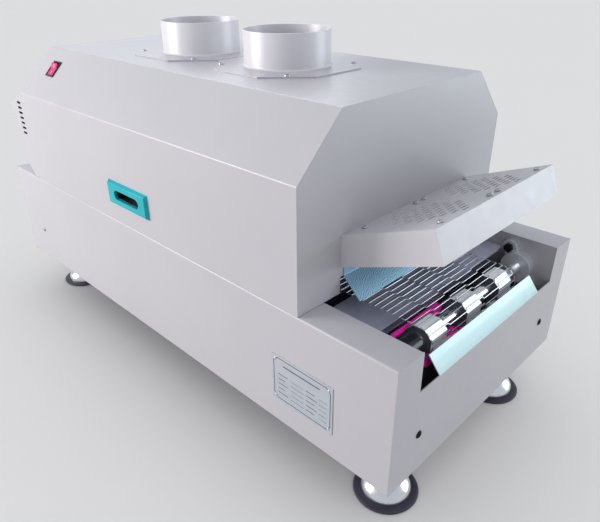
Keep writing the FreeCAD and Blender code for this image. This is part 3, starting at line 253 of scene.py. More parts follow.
# A lighter copy of the body's powder coat for the spigots: painted light
SPIGOT_COAT_PAINTED_LIGHTER = surface("spigot_powder_coat_painted_lighter", (0.61, 0.595, 0.625), vary=0.02, blotch=6.0, rough=(0.28, 0.36),
                      grain=1400.0, depth=0.12 * MM, strength=0.06)
FOOT_RUBBER = surface("foot_rubber", (0.032, 0.027, 0.050), vary=0.2, blotch=60.0, rough=(0.5, 0.68),
                      grain=500.0, strength=0.2)
TEAL_PLASTIC = surface("teal_plastic", (0.004, 0.36, 0.41), vary=0.06, blotch=40.0, rough=(0.20, 0.30),
                       grain=900.0, strength=0.04, Specular_IOR_Level=0.3)
BLACK_PLASTIC = surface("black_plastic", (0.018, 0.018, 0.021), vary=0.25, blotch=80.0, rough=(0.32, 0.46),
                        grain=1100.0, strength=0.12)
RED_PLASTIC = surface("red_rocker_plastic", (0.62, 0.022, 0.155), vary=0.08, blotch=90.0, rough=(0.18, 0.28),
                      grain=1200.0, strength=0.04)
PLATE_ALUMINIUM = surface("brushed_plate", (0.50, 0.53, 0.58), vary=0.07, blotch=30.0, rough=(0.28, 0.42),
                          grain=700.0, strength=0.10, stretch=(0.06, 1, 1), Metallic=0.45)
ZINC = surface("zinc_plate", (0.44, 0.44, 0.46), vary=0.08, blotch=200.0, rough=(0.30, 0.44), grain=900.0,
               strength=0.08, Metallic=0.55)
QUARTZ = surface("frosted_quartz", (0.82, 0.82, 0.84), vary=0.05, blotch=80.0, rough=(0.25, 0.4), grain=700.0,
                 strength=0.05, Transmission_Weight=0.6)
CERAMIC_BOARD = surface("ceramic_fibre_board", (0.76, 0.73, 0.66), vary=0.1, blotch=70.0, rough=(0.8, 0.95),
                        grain=350.0, depth=0.6 * MM, strength=0.5)
LEAD_SLEEVE = surface("lead_sleeve", (0.05, 0.05, 0.055), vary=0.3, blotch=300.0, rough=(0.5, 0.7),
                      grain=900.0, strength=0.4)
KEYPAD_FILM = surface("keypad_film", (0.055, 0.065, 0.085), vary=0.12, blotch=60.0, rough=(0.34, 0.46),
                      grain=1200.0, strength=0.05)
WINDOW_FILM = surface("display_window", (0.010, 0.016, 0.014), vary=0.2, blotch=40.0, rough=(0.06, 0.12),
                      grain=600.0, strength=0.02)
PALE_PRINT = surface("pale_print", (0.62, 0.62, 0.62), vary=0.06, blotch=120.0, rough=(0.4, 0.55),
                     grain=900.0, strength=0.05)
DARK_PRINT = surface("dark_print", (0.06, 0.065, 0.085), vary=0.15, blotch=120.0, rough=(0.4, 0.55),
                     grain=900.0, strength=0.05)

SLOT_FINISH = {
    "painted_sheet": POWDER_COAT, "galvanised_sheet": GALVANISED, "bright_sheet": SWIRLED_SHEET_SKY_TINT,
    "belt_wire": BELT_WIRE, "polished_steel": POLISHED_STEEL, "bearing_iron": BEARING_IRON,
    "black_steel": BLACK_STEEL, "red_enamel": RED_ENAMEL, "foot_rubber": FOOT_RUBBER,
    "teal_plastic": TEAL_PLASTIC, "black_plastic": BLACK_PLASTIC, "red_plastic": RED_PLASTIC,
    "plate_aluminium": PLATE_ALUMINIUM, "zinc_screw": ZINC, "quartz_glass": QUARTZ,
    "ceramic_board": CERAMIC_BOARD, "lead_sleeve": LEAD_SLEEVE, "keypad_film": KEYPAD_FILM,
}
SLOT_OF = {part["node"]: part["material_slot"] for part in frame["record"]["subparts"]}
BODY_OF = {node: body for body, members in frame["record"]["behaviour"]["bodies"].items() for node in members}


# Making and placing pieces

def shade(mesh):
    """Round faces shade smooth, and folds stay crisp."""
    mesh.polygons.foreach_set("use_smooth", [True] * len(mesh.polygons))
    mesh.set_sharp_from_angle(angle=SMOOTH_ANGLE)


def settle(obj):
    """Bake an object's modifiers into a plain mesh at the origin."""
    done = bpy.data.meshes.new_from_object(obj.evaluated_get(bpy.context.evaluated_depsgraph_get()))
    obj.modifiers.clear()
    obj.data = done
    return obj


def add_piece(name, mesh, body, materials, replaced=()):
    obj = bpy.data.objects.new(name, mesh)
    bpy.context.scene.collection.objects.link(obj)
    if not mesh.materials:
        for material in materials:
            mesh.materials.append(material)
    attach(obj, body)
    if replaced:
        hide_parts(*replaced)
    return obj


def eased_piece(node, ease=FOLD_EASE, finish=None):
    """A copy of a solid with its corners eased, in its slot's finish, in place of the solid."""
    mesh = nodes[node].data.copy()
    mesh.materials.clear()
    bm = bmesh.new()
    bm.from_mesh(mesh)
    bmesh.ops.remove_doubles(bm, verts=bm.verts, dist=MERGE_DISTANCE)
    bmesh.ops.dissolve_limit(bm, angle_limit=FLAT_ANGLE, verts=bm.verts, edges=bm.edges)
    bm.to_mesh(mesh)
    bm.free()
    obj = bpy.data.objects.new(node + "_finished", mesh)
    bpy.context.scene.collection.objects.link(obj)
    if ease:
        rounding = obj.modifiers.new("eased edges", "BEVEL")
        rounding.width = ease
        rounding.segments = 2
        rounding.limit_method = "ANGLE"
        rounding.angle_limit = EASE_ANGLE
        bpy.context.view_layer.update()
        settle(obj)
    obj.data.materials.clear()
    obj.data.materials.append(finish or SLOT_FINISH[SLOT_OF[node]])
    shade(obj.data)
    level = obj.modifiers.new("level flats", "WEIGHTED_NORMAL")
    level.keep_sharp = True
    level.weight = 100
    bpy.context.view_layer.update()
    settle(obj)
    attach(obj, BODY_OF[node])
    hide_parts(node)
    return obj


def lathe(outline, axis_point, axis="z", steps=LATHE_STEPS):
    """Closed mesh turned about an axis through a point, from an outline of (radius, height on the axis)."""
    bm = bmesh.new()
    turn = {"z": Matrix.Identity(3), "y": Matrix.Rotation(-math.pi / 2, 3, "X")}[axis]
    rings = []
    for k in range(steps):
        a = 2 * math.pi * k / steps
        ring = []
        for r, h in outline:
            point = turn @ Vector((r * math.cos(a), r * math.sin(a), h)) + Vector(axis_point)
            ring.append(bm.verts.new(point))
        rings.append(ring)
    count = len(outline)
    for k in range(steps):
        here, there = rings[k], rings[(k + 1) % steps]
        for j in range(count):
            i = (j + 1) % count
            bm.faces.new((here[j], there[j], there[i], here[i]))
    bmesh.ops.remove_doubles(bm, verts=bm.verts, dist=1e-7)
    bmesh.ops.recalc_face_normals(bm, faces=bm.faces)
    return bm


def join(parts):
    whole = bmesh.new()
    for part in parts:
        spare = bpy.data.meshes.new("spare")
        part.to_mesh(spare)
        part.free()
        whole.from_mesh(spare)
        bpy.data.meshes.remove(spare)
    return whole


def as_mesh(name, bm):
    mesh = bpy.data.meshes.new(name)
    bm.to_mesh(mesh)
    bm.free()
    shade(mesh)
    return mesh


def slab(low, high):
    bm = bmesh.new()
    bmesh.ops.create_cube(bm, size=1.0)
    size = [b - a for a, b in zip(low, high)]
    middle = [(a + b) / 2 for a, b in zip(low, high)]
    bmesh.ops.scale(bm, vec=size, verts=bm.verts)
    bmesh.ops.translate(bm, vec=middle, verts=bm.verts)
    return bm


# Node trees that set out what repeats

def node_tree(name):
    tree = bpy.data.node_groups.new(name, "GeometryNodeTree")
    tree.interface.new_socket("Geometry", in_out="INPUT", socket_type="NodeSocketGeometry")
    tree.interface.new_socket("Geometry", in_out="OUTPUT", socket_type="NodeSocketGeometry")
    start = tree.nodes.new("NodeGroupInput")
    end = tree.nodes.new("NodeGroupOutput")
    return tree, start, end


def head_setting_tree():
    """Sets a screw head on every point, turned to the point's outward way and twisted by its slot angle."""
    tree, start, end = node_tree("set_heads")
    pick = tree.interface.new_socket("Head", in_out="INPUT", socket_type="NodeSocketObject")
    coat = tree.interface.new_socket("Finish", in_out="INPUT", socket_type="NodeSocketMaterial")
    out_way = tree.nodes.new("GeometryNodeInputNamedAttribute")
    out_way.data_type = "FLOAT_VECTOR"
    out_way.inputs["Name"].default_value = "outward"
    twist = tree.nodes.new("GeometryNodeInputNamedAttribute")
    twist.data_type = "FLOAT"
    twist.inputs["Name"].default_value = "twist"
    aim = tree.nodes.new("FunctionNodeAlignRotationToVector")
    aim.axis = "Z"
    spin = tree.nodes.new("FunctionNodeRotateRotation")
    spin.rotation_space = "LOCAL"
    about = tree.nodes.new("FunctionNodeAxisAngleToRotation")
    about.inputs["Axis"].default_value = (0, 0, 1)
    head = tree.nodes.new("GeometryNodeObjectInfo")
    put = tree.nodes.new("GeometryNodeInstanceOnPoints")
    real = tree.nodes.new("GeometryNodeRealizeInstances")
    paint = tree.nodes.new("GeometryNodeSetMaterial")
    link = tree.links.new
    link(out_way.outputs["Attribute"], aim.inputs["Vector"])
    link(twist.outputs["Attribute"], about.inputs["Angle"])
    link(aim.outputs["Rotation"], spin.inputs["Rotation"])
    link(about.outputs["Rotation"], spin.inputs["Rotate By"])
    link(start.outputs["Geometry"], put.inputs["Points"])
    link(start.outputs["Head"], head.inputs["Object"])
    link(head.outputs["Geometry"], put.inputs["Instance"])
    link(spin.outputs["Rotation"], put.inputs["Rotation"])
    link(put.outputs["Instances"], real.inputs["Geometry"])
    link(real.outputs["Geometry"], paint.inputs["Geometry"])
    link(start.outputs["Finish"], paint.inputs["Material"])
    link(paint.outputs["Geometry"], end.inputs["Geometry"])
    return tree, pick.identifier, coat.identifier


HEAD_TREE, HEAD_INPUT, FINISH_INPUT = head_setting_tree()


def set_out(name, places, head, finish):
    """One plain mesh with a copy of a head at every (point, outward way)."""
    mesh = bpy.data.meshes.new(name)
    mesh.from_pydata([p for p, _ in places], [], [])
    ways = mesh.attributes.new("outward", "FLOAT_VECTOR", "POINT")
    ways.data.foreach_set("vector", [c for _, way in places for c in way])
    twists = mesh.attributes.new("twist", "FLOAT", "POINT")
    twists.data.foreach_set("value", [SLOT_TWIST * k for k in range(len(places))])
    obj = bpy.data.objects.new(name, mesh)
    bpy.context.scene.collection.objects.link(obj)
    modifier = obj.modifiers.new("set heads", "NODES")
    modifier.node_group = HEAD_TREE
    modifier[HEAD_INPUT] = head
    modifier[FINISH_INPUT] = finish
    bpy.context.view_layer.update()
    settle(obj)
    shade(obj.data)
    return obj


def islands(node):
    """Lowest and highest corners of each separate solid in a node."""
    bm = bmesh.new()
    bm.from_mesh(nodes[node].data)
    bmesh.ops.remove_doubles(bm, verts=bm.verts, dist=MERGE_DISTANCE)
    left = set(bm.verts)
    found = []
    while left:
        edge = [left.pop()]
        group = list(edge)
        while edge:
            vert = edge.pop()
            for other in (e.other_vert(vert) for e in vert.link_edges):
                if other in left:
                    left.remove(other)
                    group.append(other)
                    edge.append(other)
        points = [v.co for v in group]
        low = Vector([min(p[k] for p in points) for k in range(3)])
        high = Vector([max(p[k] for p in points) for k in range(3)])
        found.append((low, high))
    bm.free()
    return sorted(found, key=lambda pair: tuple(pair[0]))


def cross_head(name, diameter, height, slot_width, shank, length):
    """Pan head with a cross recess, standing on z = 0, and its plain shank below."""
    r = diameter / 2
    outline = [(0, height), (r * 0.55, height * 0.93), (r * 0.85, height * 0.66), (r, height * 0.2), (r, 0),
               (shank / 2, 0), (shank / 2, -length), (0, -length)]
    body = as_mesh(name, lathe(outline, (0, 0, 0), steps=HEAD_STEPS))
    head = bpy.data.objects.new(name, body)
    arm = r * 0.62
    cross = as_mesh(name + "_recess", join([
        slab((-arm, -slot_width / 2, height * 0.35), (arm, slot_width / 2, height * 1.5)),
        slab((-slot_width / 2, -arm, height * 0.35), (slot_width / 2, arm, height * 1.5))]))
    tool = bpy.data.objects.new(name + "_recess", cross)
    for obj in (head, tool):
        bpy.context.scene.collection.objects.link(obj)
    cut = head.modifiers.new("recess", "BOOLEAN")
    cut.object = tool
    cut.solver = "EXACT"
    cut.use_self = True
    bpy.context.view_layer.update()
    settle(head)
    bpy.data.objects.remove(tool)
    return head


def bolt_head(name, flats, height, shank, length):
    """Hexagon head with a chamfered crown, standing on z = 0, and its shank below."""
    bm = bmesh.new()
    r = flats / math.sqrt(3)
    bmesh.ops.create_cone(bm, cap_ends=True, segments=6, radius1=r, radius2=r, depth=height,
                          matrix=Matrix.Translation((0, 0, height / 2)))
    bmesh.ops.bevel(bm, geom=bm.edges[:], offset=height * 0.08, segments=2, affect="EDGES")
    stem = lathe([(0, 0), (shank / 2, 0), (shank / 2, -length), (0, -length)], (0, 0, 0), steps=HEAD_STEPS)
    head = bpy.data.objects.new(name, as_mesh(name, join([bm, stem])))
    bpy.context.scene.collection.objects.link(head)
    return head


def dome_head(name, diameter, height, shank, length):
    """Round rivet head, standing on z = 0, and its shank below."""
    r = diameter / 2
    curve = [(r * math.cos(a), height * math.sin(a)) for a in (math.radians(15 * k) for k in range(0, 6))]
    outline = [(0, height)] + curve[::-1] + [(shank / 2, 0), (shank / 2, -length), (0, -length)]
    head = bpy.data.objects.new(name, as_mesh(name, lathe(outline, (0, 0, 0), steps=HEAD_STEPS)))
    bpy.context.scene.collection.objects.link(head)
    return head


def fasteners():
    """All the screws, bolts and rivets, set on their solids' own places."""
    plate_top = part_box("outlet_side_exhaust_plate")[1][2]
    pan = cross_head("pan_head", PAN_DIAMETER, PAN_HEIGHT, CROSS_SLOT, SCREW_SHANK, PAN_REACH)
    wide_pan = cross_head("wide_pan_head", WIDE_PAN_DIAMETER, WIDE_PAN_HEIGHT, CROSS_SLOT, SCREW_SHANK,
                          WIDE_PAN_REACH)
    long_pan = cross_head("long_pan_head", PAN_DIAMETER, PAN_HEIGHT, CROSS_SLOT, SCREW_SHANK, LONG_PAN_REACH)
    hexagon = bolt_head("hexagon_head", BOLT_FLATS, BOLT_HEIGHT, BOLT_SHANK, BOLT_REACH)
    rivet = dome_head("rivet_head", RIVET_DIAMETER, RIVET_HEIGHT, RIVET_SHANK, RIVET_REACH)

    def middle(pair):
        return (pair[0] + pair[1]) / 2
    exhaust = [(Vector((*middle(p).xy, plate_top)), Vector((0, 0, 1))) for p in islands("exhaust_screws")]
    finish_group(set_out("exhaust_screw_heads", exhaust, pan, ZINC), "exhaust_screws")
    cowl = []
    for p in islands("cowl_screws"):
        spot = middle(p)
        cowl.append((spot + COWL_UP * (COWL_SCREW_LENGTH - PAN_HEIGHT) / 2, COWL_UP))
    finish_group(set_out("cowl_screw_heads", cowl, long_pan, ZINC), "cowl_screws")
    panel, corner = [], []
    for p in islands("panel_screws"):
        spot = middle(p)
        if abs(spot.y) < END_SCREW_SPREAD:
            way = Vector((math.copysign(1, spot.x), 0, 0))
            face = abs(p[1].x if spot.x > 0 else p[0].x) - WIDE_PAN_HEIGHT
            panel.append((Vector((way.x * face, spot.y, spot.z)), way))
        else:
            corner.append((Vector((spot.x, p[0].y + PAN_HEIGHT, spot.z)), Vector((0, -1, 0))))
    # End-panel screw heads are near-black as painted recess shade
    finish_group(set_out("panel_screw_heads", panel, wide_pan, SCREW_PAINTED_RECESS_SHADE), "panel_screws")
    finish_group(set_out("corner_screw_head", corner, long_pan, ZINC), "panel_screws")
    bolts = []
    for p in islands("bearing_bolts"):
        spot = middle(p)
        way = Vector((0, -math.copysign(1, spot.y), 0))
        inner = p[1].y if spot.y < 0 else p[0].y
        bolts.append((Vector((spot.x, inner - way.y * BOLT_HEIGHT, spot.z)), way))
    finish_group(set_out("bearing_bolt_heads", bolts, hexagon, BLACK_STEEL), "bearing_bolts")
    rivets = [(Vector((middle(p).x, p[0].y + RIVET_STAND, middle(p).z)), Vector((0, -1, 0)))
              for p in islands("nameplate_rivets")]
    finish_group(set_out("nameplate_rivet_heads", rivets, rivet, PLATE_ALUMINIUM), "nameplate_rivets")
    for head in (pan, wide_pan, long_pan, hexagon, rivet):
        bpy.data.objects.remove(head)


def finish_group(obj, node):
    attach(obj, BODY_OF[node])
    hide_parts(node)


# The wire belt

def belt_wire_outline():
    """One castellated wire across the belt: lanes lie by turns ahead and behind, and both ends hook back."""
    lane = BELT_WIDTH / BELT_LANES
    ahead = LANE_JOG
    edge = BELT_WIDTH / 2 - WIRE_DIAMETER / 2
    slant = 3.0 * MM
    hook = -ahead - 0.6 * WIRE_PITCH
    points = [(hook, -edge, 0), (-ahead, -edge, 0)]
    for k in range(BELT_LANES):
        side = -ahead if k % 2 == 0 else ahead
        y0 = -BELT_WIDTH / 2 + k * lane
        start = -edge if k == 0 else y0 + slant / 2
        stop = edge if k == BELT_LANES - 1 else y0 + lane - slant / 2
        points += [(side, start, 0), (side, stop, 0)]
    points += [(hook, edge, 0)]
    return [p for k, p in enumerate(points) if k == 0 or p != points[k - 1]]


def wire_tree():
    """Sweeps a round wire along a line and repeats it at every point of the belt's path."""
    tree, start, end = node_tree("lay_wires")
    wire = tree.interface.new_socket("Wire", in_out="INPUT", socket_type="NodeSocketObject")
    thick = tree.interface.new_socket("Radius", in_out="INPUT", socket_type="NodeSocketFloat")
    coat = tree.interface.new_socket("Finish", in_out="INPUT", socket_type="NodeSocketMaterial")
    info = tree.nodes.new("GeometryNodeObjectInfo")
    line = tree.nodes.new("GeometryNodeMeshToCurve")
    ring = tree.nodes.new("GeometryNodeCurvePrimitiveCircle")
    ring.inputs["Resolution"].default_value = 6
    sweep = tree.nodes.new("GeometryNodeCurveToMesh")
    sweep.inputs["Fill Caps"].default_value = True
    angle = tree.nodes.new("GeometryNodeInputNamedAttribute")
    angle.data_type = "FLOAT"
    angle.inputs["Name"].default_value = "lean"
    about = tree.nodes.new("FunctionNodeAxisAngleToRotation")
    about.inputs["Axis"].default_value = (0, 1, 0)
    put = tree.nodes.new("GeometryNodeInstanceOnPoints")
    real = tree.nodes.new("GeometryNodeRealizeInstances")
    paint = tree.nodes.new("GeometryNodeSetMaterial")
    link = tree.links.new
    link(start.outputs["Wire"], info.inputs["Object"])
    link(info.outputs["Geometry"], line.inputs["Mesh"])
    link(start.outputs["Radius"], ring.inputs["Radius"])
    link(line.outputs["Curve"], sweep.inputs["Curve"])
    link(ring.outputs["Curve"], sweep.inputs["Profile Curve"])
    link(angle.outputs["Attribute"], about.inputs["Angle"])
    link(start.outputs["Geometry"], put.inputs["Points"])
    link(sweep.outputs["Mesh"], put.inputs["Instance"])
    link(about.outputs["Rotation"], put.inputs["Rotation"])
    link(put.outputs["Instances"], real.inputs["Geometry"])
    link(real.outputs["Geometry"], paint.inputs["Geometry"])
    link(start.outputs["Finish"], paint.inputs["Material"])
    link(paint.outputs["Geometry"], end.inputs["Geometry"])
    return tree, wire.identifier, thick.identifier, coat.identifier


def belt_path():
    """Points round the belt's loop, one wire apart, each with its turn about Y."""
    low, high = (Vector(c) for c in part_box("wire_belt"))
    radius = (high.z - low.z) / 2 - BELT_HALF_THICKNESS
    height = (high.z + low.z) / 2
    half = (high.x - low.x) / 2 - (high.z - low.z) / 2
    length = 4 * half + 2 * math.pi * radius
    count = int(round(length / WIRE_PITCH))
    points, turns = [], []
    for k in range(count):
        s = length * k / count
        if s < 2 * half:
            points.append((-half + s, 0, height + radius))
            turns.append(0.0)
        elif s < 2 * half + math.pi * radius:
            a = (s - 2 * half) / radius
            points.append((half + radius * math.sin(a), 0, height + radius * math.cos(a)))
            turns.append(a)
        elif s < 4 * half + math.pi * radius:
            points.append((half - (s - 2 * half - math.pi * radius), 0, height - radius))
            turns.append(math.pi)
        else:
            a = (s - 4 * half - math.pi * radius) / radius
            points.append((-half - radius * math.sin(a), 0, height - radius * math.cos(a)))
            turns.append(math.pi + a)
    return points, turns


def wire_belt():
    line = belt_wire_outline()
    wire_mesh = bpy.data.meshes.new("one_wire")
    wire_mesh.from_pydata(line, [(k, k + 1) for k in range(len(line) - 1)], [])
    wire = bpy.data.objects.new("one_wire", wire_mesh)
    points, turns = belt_path()
    mesh = bpy.data.meshes.new("wire_belt_mesh")
    mesh.from_pydata(points, [], [])
    leans = mesh.attributes.new("lean", "FLOAT", "POINT")
    leans.data.foreach_set("value", turns)
    belt = bpy.data.objects.new("castellated_wire_belt", mesh)
    for obj in (wire, belt):
        bpy.context.scene.collection.objects.link(obj)
    tree, wire_input, radius_input, finish_input = wire_tree()
    modifier = belt.modifiers.new("lay wires", "NODES")
    modifier.node_group = tree
    modifier[wire_input] = wire
    modifier[radius_input] = WIRE_DIAMETER / 2
    modifier[finish_input] = BELT_WIRE
    bpy.context.view_layer.update()
    settle(belt)
    bpy.data.objects.remove(wire)
    shade(belt.data)
    finish_group(belt, "wire_belt")


# Turned pieces

def exhaust_spigot(node):
    """Rolled duct spigot: thin wall, soft rim and a weld bead round its foot."""
    low, high = (Vector(c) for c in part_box(node))
    wall, bead = 1.5 * MM, 2.4 * MM
    r = (high.x - low.x) / 2 - bead
    tall = (high.z - low.z) / MM
    rows = [(-wall, 0), (bead, 0), (0.9 * MM, 0.7), (0.25 * MM, 1.7), (0, 2.9), (0, tall - 0.6),
            (-0.2 * MM, tall - 0.15), (-0.6 * MM, tall), (0.6 * MM - wall, tall),
            (0.2 * MM - wall, tall - 0.15), (-wall, tall - 0.6)]
    outline = [(r + out, up * MM) for out, up in rows]
    at = ((low.x + high.x) / 2, (low.y + high.y) / 2, low.z)
    mesh = as_mesh(node + "_finished", lathe(outline, at, steps=SPIGOT_STEPS))
    # Spigots take the lighter copy of the powder coat, painted light
    add_piece(node + "_finished", mesh, "hood", [SPIGOT_COAT_PAINTED_LIGHTER], [node])


def feet():
    """Rubber rims and bright pressed cups of the levelling feet, from outlines in millimetres."""
    rim = [(0, 0), (42, 0), (43.4, 0.5), (44, 1.6), (44, 2.7), (43, 3.6), (40, 4.2), (36.5, 4.5), (34.4, 4.5),
           (34.3, 2), (0, 2)]
    dish = [(6.1, 2.1), (34, 2.1), (34, 6), (33.4, 9.8), (31.4, 14.2), (27.5, 18.6), (22.5, 22.4),
            (18.5, 24.8), (15.5, 26.6), (14, 29), (12, 30), (6.1, 30)]
    rims, cups = [], []
    for low, high in islands("foot_rubbers"):
        at = ((low.x + high.x) / 2, (low.y + high.y) / 2, low.z)
        rims.append(lathe([(r * MM, h * MM) for r, h in rim], at, steps=FOOT_STEPS))
        cups.append(lathe([(r * MM, h * MM) for r, h in dish], at, steps=FOOT_STEPS))
    add_piece("foot_rubber_rims", as_mesh("foot_rubber_rims", join(rims)), "base",
              [FOOT_RUBBER], ["foot_rubbers"])
    add_piece("foot_steel_cups", as_mesh("foot_steel_cups", join(cups)), "base",
              [POLISHED_STEEL], ["foot_cups"])


# Flat trim

def bar(a, b, width, thick):
    """Flat bar from one (x, z) point to another, lying on y = 0 and standing forward."""
    (x0, z0), (x1, z1) = a, b
    length = math.hypot(x1 - x0, z1 - z0)
    strip = slab((-width / 2, -thick, -width / 2), (length + width / 2, 0, width / 2))
    strip.transform(Matrix.Translation((x0, 0, z0)) @ Matrix.Rotation(-math.atan2(z1 - z0, x1 - x0), 4, "Y"))
    return strip


def nameplate():
    """Brushed plate with a printed border, its corners cut round the rivets, and empty ruled fields."""
    eased_piece("nameplate", 0.25 * MM)
    low, high = (Vector(c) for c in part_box("nameplate"))
    thick, inset, cut = 0.12 * MM, 3.4 * MM, 6.5 * MM
    x0, x1, z0, z1 = low.x + inset, high.x - inset, low.z + inset, high.z - inset
    ring = [(x0 + cut, z0), (x1 - cut, z0), (x1, z0 + cut), (x1, z1 - cut), (x1 - cut, z1), (x0 + cut, z1),
            (x0, z1 - cut), (x0, z0 + cut)]
    bars = [bar(a, b, 1.0 * MM, thick) for a, b in zip(ring, ring[1:] + ring[:1])]
    bars.append(bar((x0 + 18 * MM, z1 - 9 * MM), (x1 - 18 * MM, z1 - 9 * MM), 1.6 * MM, thick))
    for k in range(5):
        z = z0 + 10 * MM + k * 7.5 * MM
        bars.append(bar((x0 + 8 * MM, z), (x0 + (24 - k % 2 * 5) * MM, z), 0.9 * MM, thick))
        bars.append(bar((x0 + 30 * MM, z - 1 * MM), (x0 + 52 * MM, z - 1 * MM), 0.4 * MM, thick))
        bars.append(bar((x0 + 57 * MM, z), (x0 + (70 + k % 2 * 4) * MM, z), 0.9 * MM, thick))
        bars.append(bar((x0 + 78 * MM, z - 1 * MM), (x1 - 6 * MM, z - 1 * MM), 0.4 * MM, thick))
    print_mesh = join(bars)
    bmesh.ops.translate(print_mesh, vec=(0, low.y, 0), verts=print_mesh.verts)
    add_piece("nameplate_rules", as_mesh("nameplate_rules", print_mesh), "base",
              [DARK_PRINT])


def rocker_marks():
    """A bar on the rocker's lower wing and a ring on its upper wing."""
    low, high = (Vector(c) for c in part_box("switch_bezel"))
    out = Vector((0, -math.sin(CHAMFER_TILT), math.cos(CHAMFER_TILT)))
    face = Vector(((low.x + high.x) / 2, *chamfer_middle(low, high, out)))
    place = Matrix.Translation(face) @ Matrix.Rotation(CHAMFER_TILT, 4, "X")
    pivot = Matrix.Translation((0, 0, -ROCKER_PIVOT_DEPTH))
    tip = pivot @ Matrix.Rotation(ROCKER_THROW, 4, "X") @ pivot.inverted()
    sunk, proud = -0.05 * MM, 0.12 * MM
    marks = []
    for way in (-1, 1):
        lean = Matrix.Rotation(way * WING_SLOPE, 4, "X")
        on_wing = Matrix.Translation((0, way * WING_MIDDLE, WING_HEIGHT)) @ lean
        if way < 0:
            mark = slab((-0.5 * MM, -2.6 * MM, sunk), (0.5 * MM, 2.6 * MM, proud))
        else:
            inner, outer = 1.9 * MM, 2.7 * MM
            mark = lathe([(inner, sunk), (outer, sunk), (outer, proud), (inner, proud)], (0, 0, 0), steps=32)
        mark.transform(place @ tip @ on_wing)
        marks.append(mark)
    add_piece("rocker_marks", as_mesh("rocker_marks", join(marks)), "rocker", [PALE_PRINT])


def chamfer_middle(low, high, out):
    """Where the switch's middle meets the hood's chamfer, which its bezel stands out from."""
    y, z = (low.y + high.y) / 2, (low.z + high.z) / 2
    bezel = nodes["switch_bezel"].data.vertices
    front = max(Vector((0, v.co.y, v.co.z)).dot(out) for v in bezel) - BEZEL_STAND
    slip = front - Vector((0, y, z)).dot(out)
    up = Vector((0, math.cos(CHAMFER_TILT), math.sin(CHAMFER_TILT)))
    sides = [v.co.dot(up) for v in bezel]
    along = (min(sides) + max(sides)) / 2 - Vector((0, y, z)).dot(up)
    spot = Vector((0, y, z)) + out * slip + up * along
    return spot.y, spot.z


def keypad():
    """Console film with a display window and two rows of low keys, on the console's slope."""
    low, high = (Vector(c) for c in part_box("console_keypad"))
    middle = (low + high) / 2
    rise, run = high.z - low.z, high.x - low.x
    slope = math.atan2(rise - 1 * MM, run)
    turn = Matrix.Translation(middle) @ Matrix.Rotation(-slope, 4, "Y")
    half, thick = FILM_HALF_LENGTH, FILM_HALF_THICKNESS
    wide = (high.y - low.y) / 2
    film = slab((-half, -wide, -thick), (half, wide, thick))
    bmesh.ops.bevel(film, geom=film.edges[:], offset=0.25 * MM, segments=2, affect="EDGES")
    film.transform(turn)
    add_piece("keypad_film_sheet", as_mesh("keypad_film_sheet", film), "hood", [KEYPAD_FILM],
              ["console_keypad"])
    window = slab((WINDOW_ENDS[0], -wide + WINDOW_MARGINS[0], thick),
                  (WINDOW_ENDS[1], wide - WINDOW_MARGINS[1], thick + WINDOW_HEIGHT))
    bmesh.ops.bevel(window, geom=window.edges[:], offset=0.2 * MM, segments=2, affect="EDGES")
    window.transform(turn)
    add_piece("display_window", as_mesh("display_window", window), "hood", [WINDOW_FILM])
    keys = []
    for row in range(KEY_ROWS):
        for col in range(KEY_COLUMNS):
            y = wide - FIRST_KEY_MARGIN + col * KEY_COLUMN_PITCH
            x = FIRST_KEY + row * KEY_ROW_PITCH
            key = slab((x - KEY_HALF_LENGTH, y - KEY_HALF_WIDTH, thick),
                       (x + KEY_HALF_LENGTH, y + KEY_HALF_WIDTH, thick + KEY_HEIGHT))
            bmesh.ops.bevel(key, geom=key.edges[:], offset=0.4 * MM, segments=3, affect="EDGES")
            key.transform(turn)
            keys.append(key)
    add_piece("keypad_keys", as_mesh("keypad_keys", join(keys)), "hood", [PALE_PRINT])


def drum_end_finish(obj):
    """The drums' end faces are made dark, unlike the milled facets."""
    obj.data.materials.append(DARK_STEEL)
    for face in obj.data.polygons:
        if abs(face.normal.y) > SQUARE_ON:
            face.material_index = 1


def motor_red_dark_and_painted_shade(obj):
    """The motor is red at the front and top. Faces further back, with the gear train, are dark, and faces low
    down are dark as painted shade under the motor.
    """
    obj.data.materials.append(BLACK_STEEL)
    bm = bmesh.new()
    bm.from_mesh(obj.data)
    for point, way in (((0, MOTOR_RED_END, 0), (0, 1, 0)), ((0, 0, MOTOR_PAINTED_SHADE_TOP), (0, 0, 1))):
        bmesh.ops.bisect_plane(bm, geom=bm.verts[:] + bm.edges[:] + bm.faces[:], plane_co=point, plane_no=way)
    # Low faces take the dark steel as painted shade; faces further back are dark steel too
    for face in bm.faces:
        spot = face.calc_center_median()
        face.material_index = int(spot.y > MOTOR_RED_END or spot.z < MOTOR_PAINTED_SHADE_TOP)
    bm.to_mesh(obj.data)
    bm.free()


def panel_lip_painted_reflection(obj, side):
    """The bent-in lip of an end panel is bare sheet in a pale bluish tone, a painted sky reflection and
    highlight, unlike the painted panel.
    """
    obj.data.materials.append(LIP_PAINTED_SKY_SHEEN)
    for face in obj.data.polygons:
        reach = face.center.x * side
        sloped = LIP_SLOPE[0] < face.normal.z < LIP_SLOPE[1]
        # Upward-sloped lip faces get the painted sky reflection
        if sloped and abs(face.center.y) < LIP_HALF_WIDTH and reach < PANEL_FACE:
            face.material_index = 1


# Dress every solid
for node, obj in nodes.items():
    obj.data.materials.clear()
    obj.data.materials.append(SLOT_FINISH[SLOT_OF[node]])

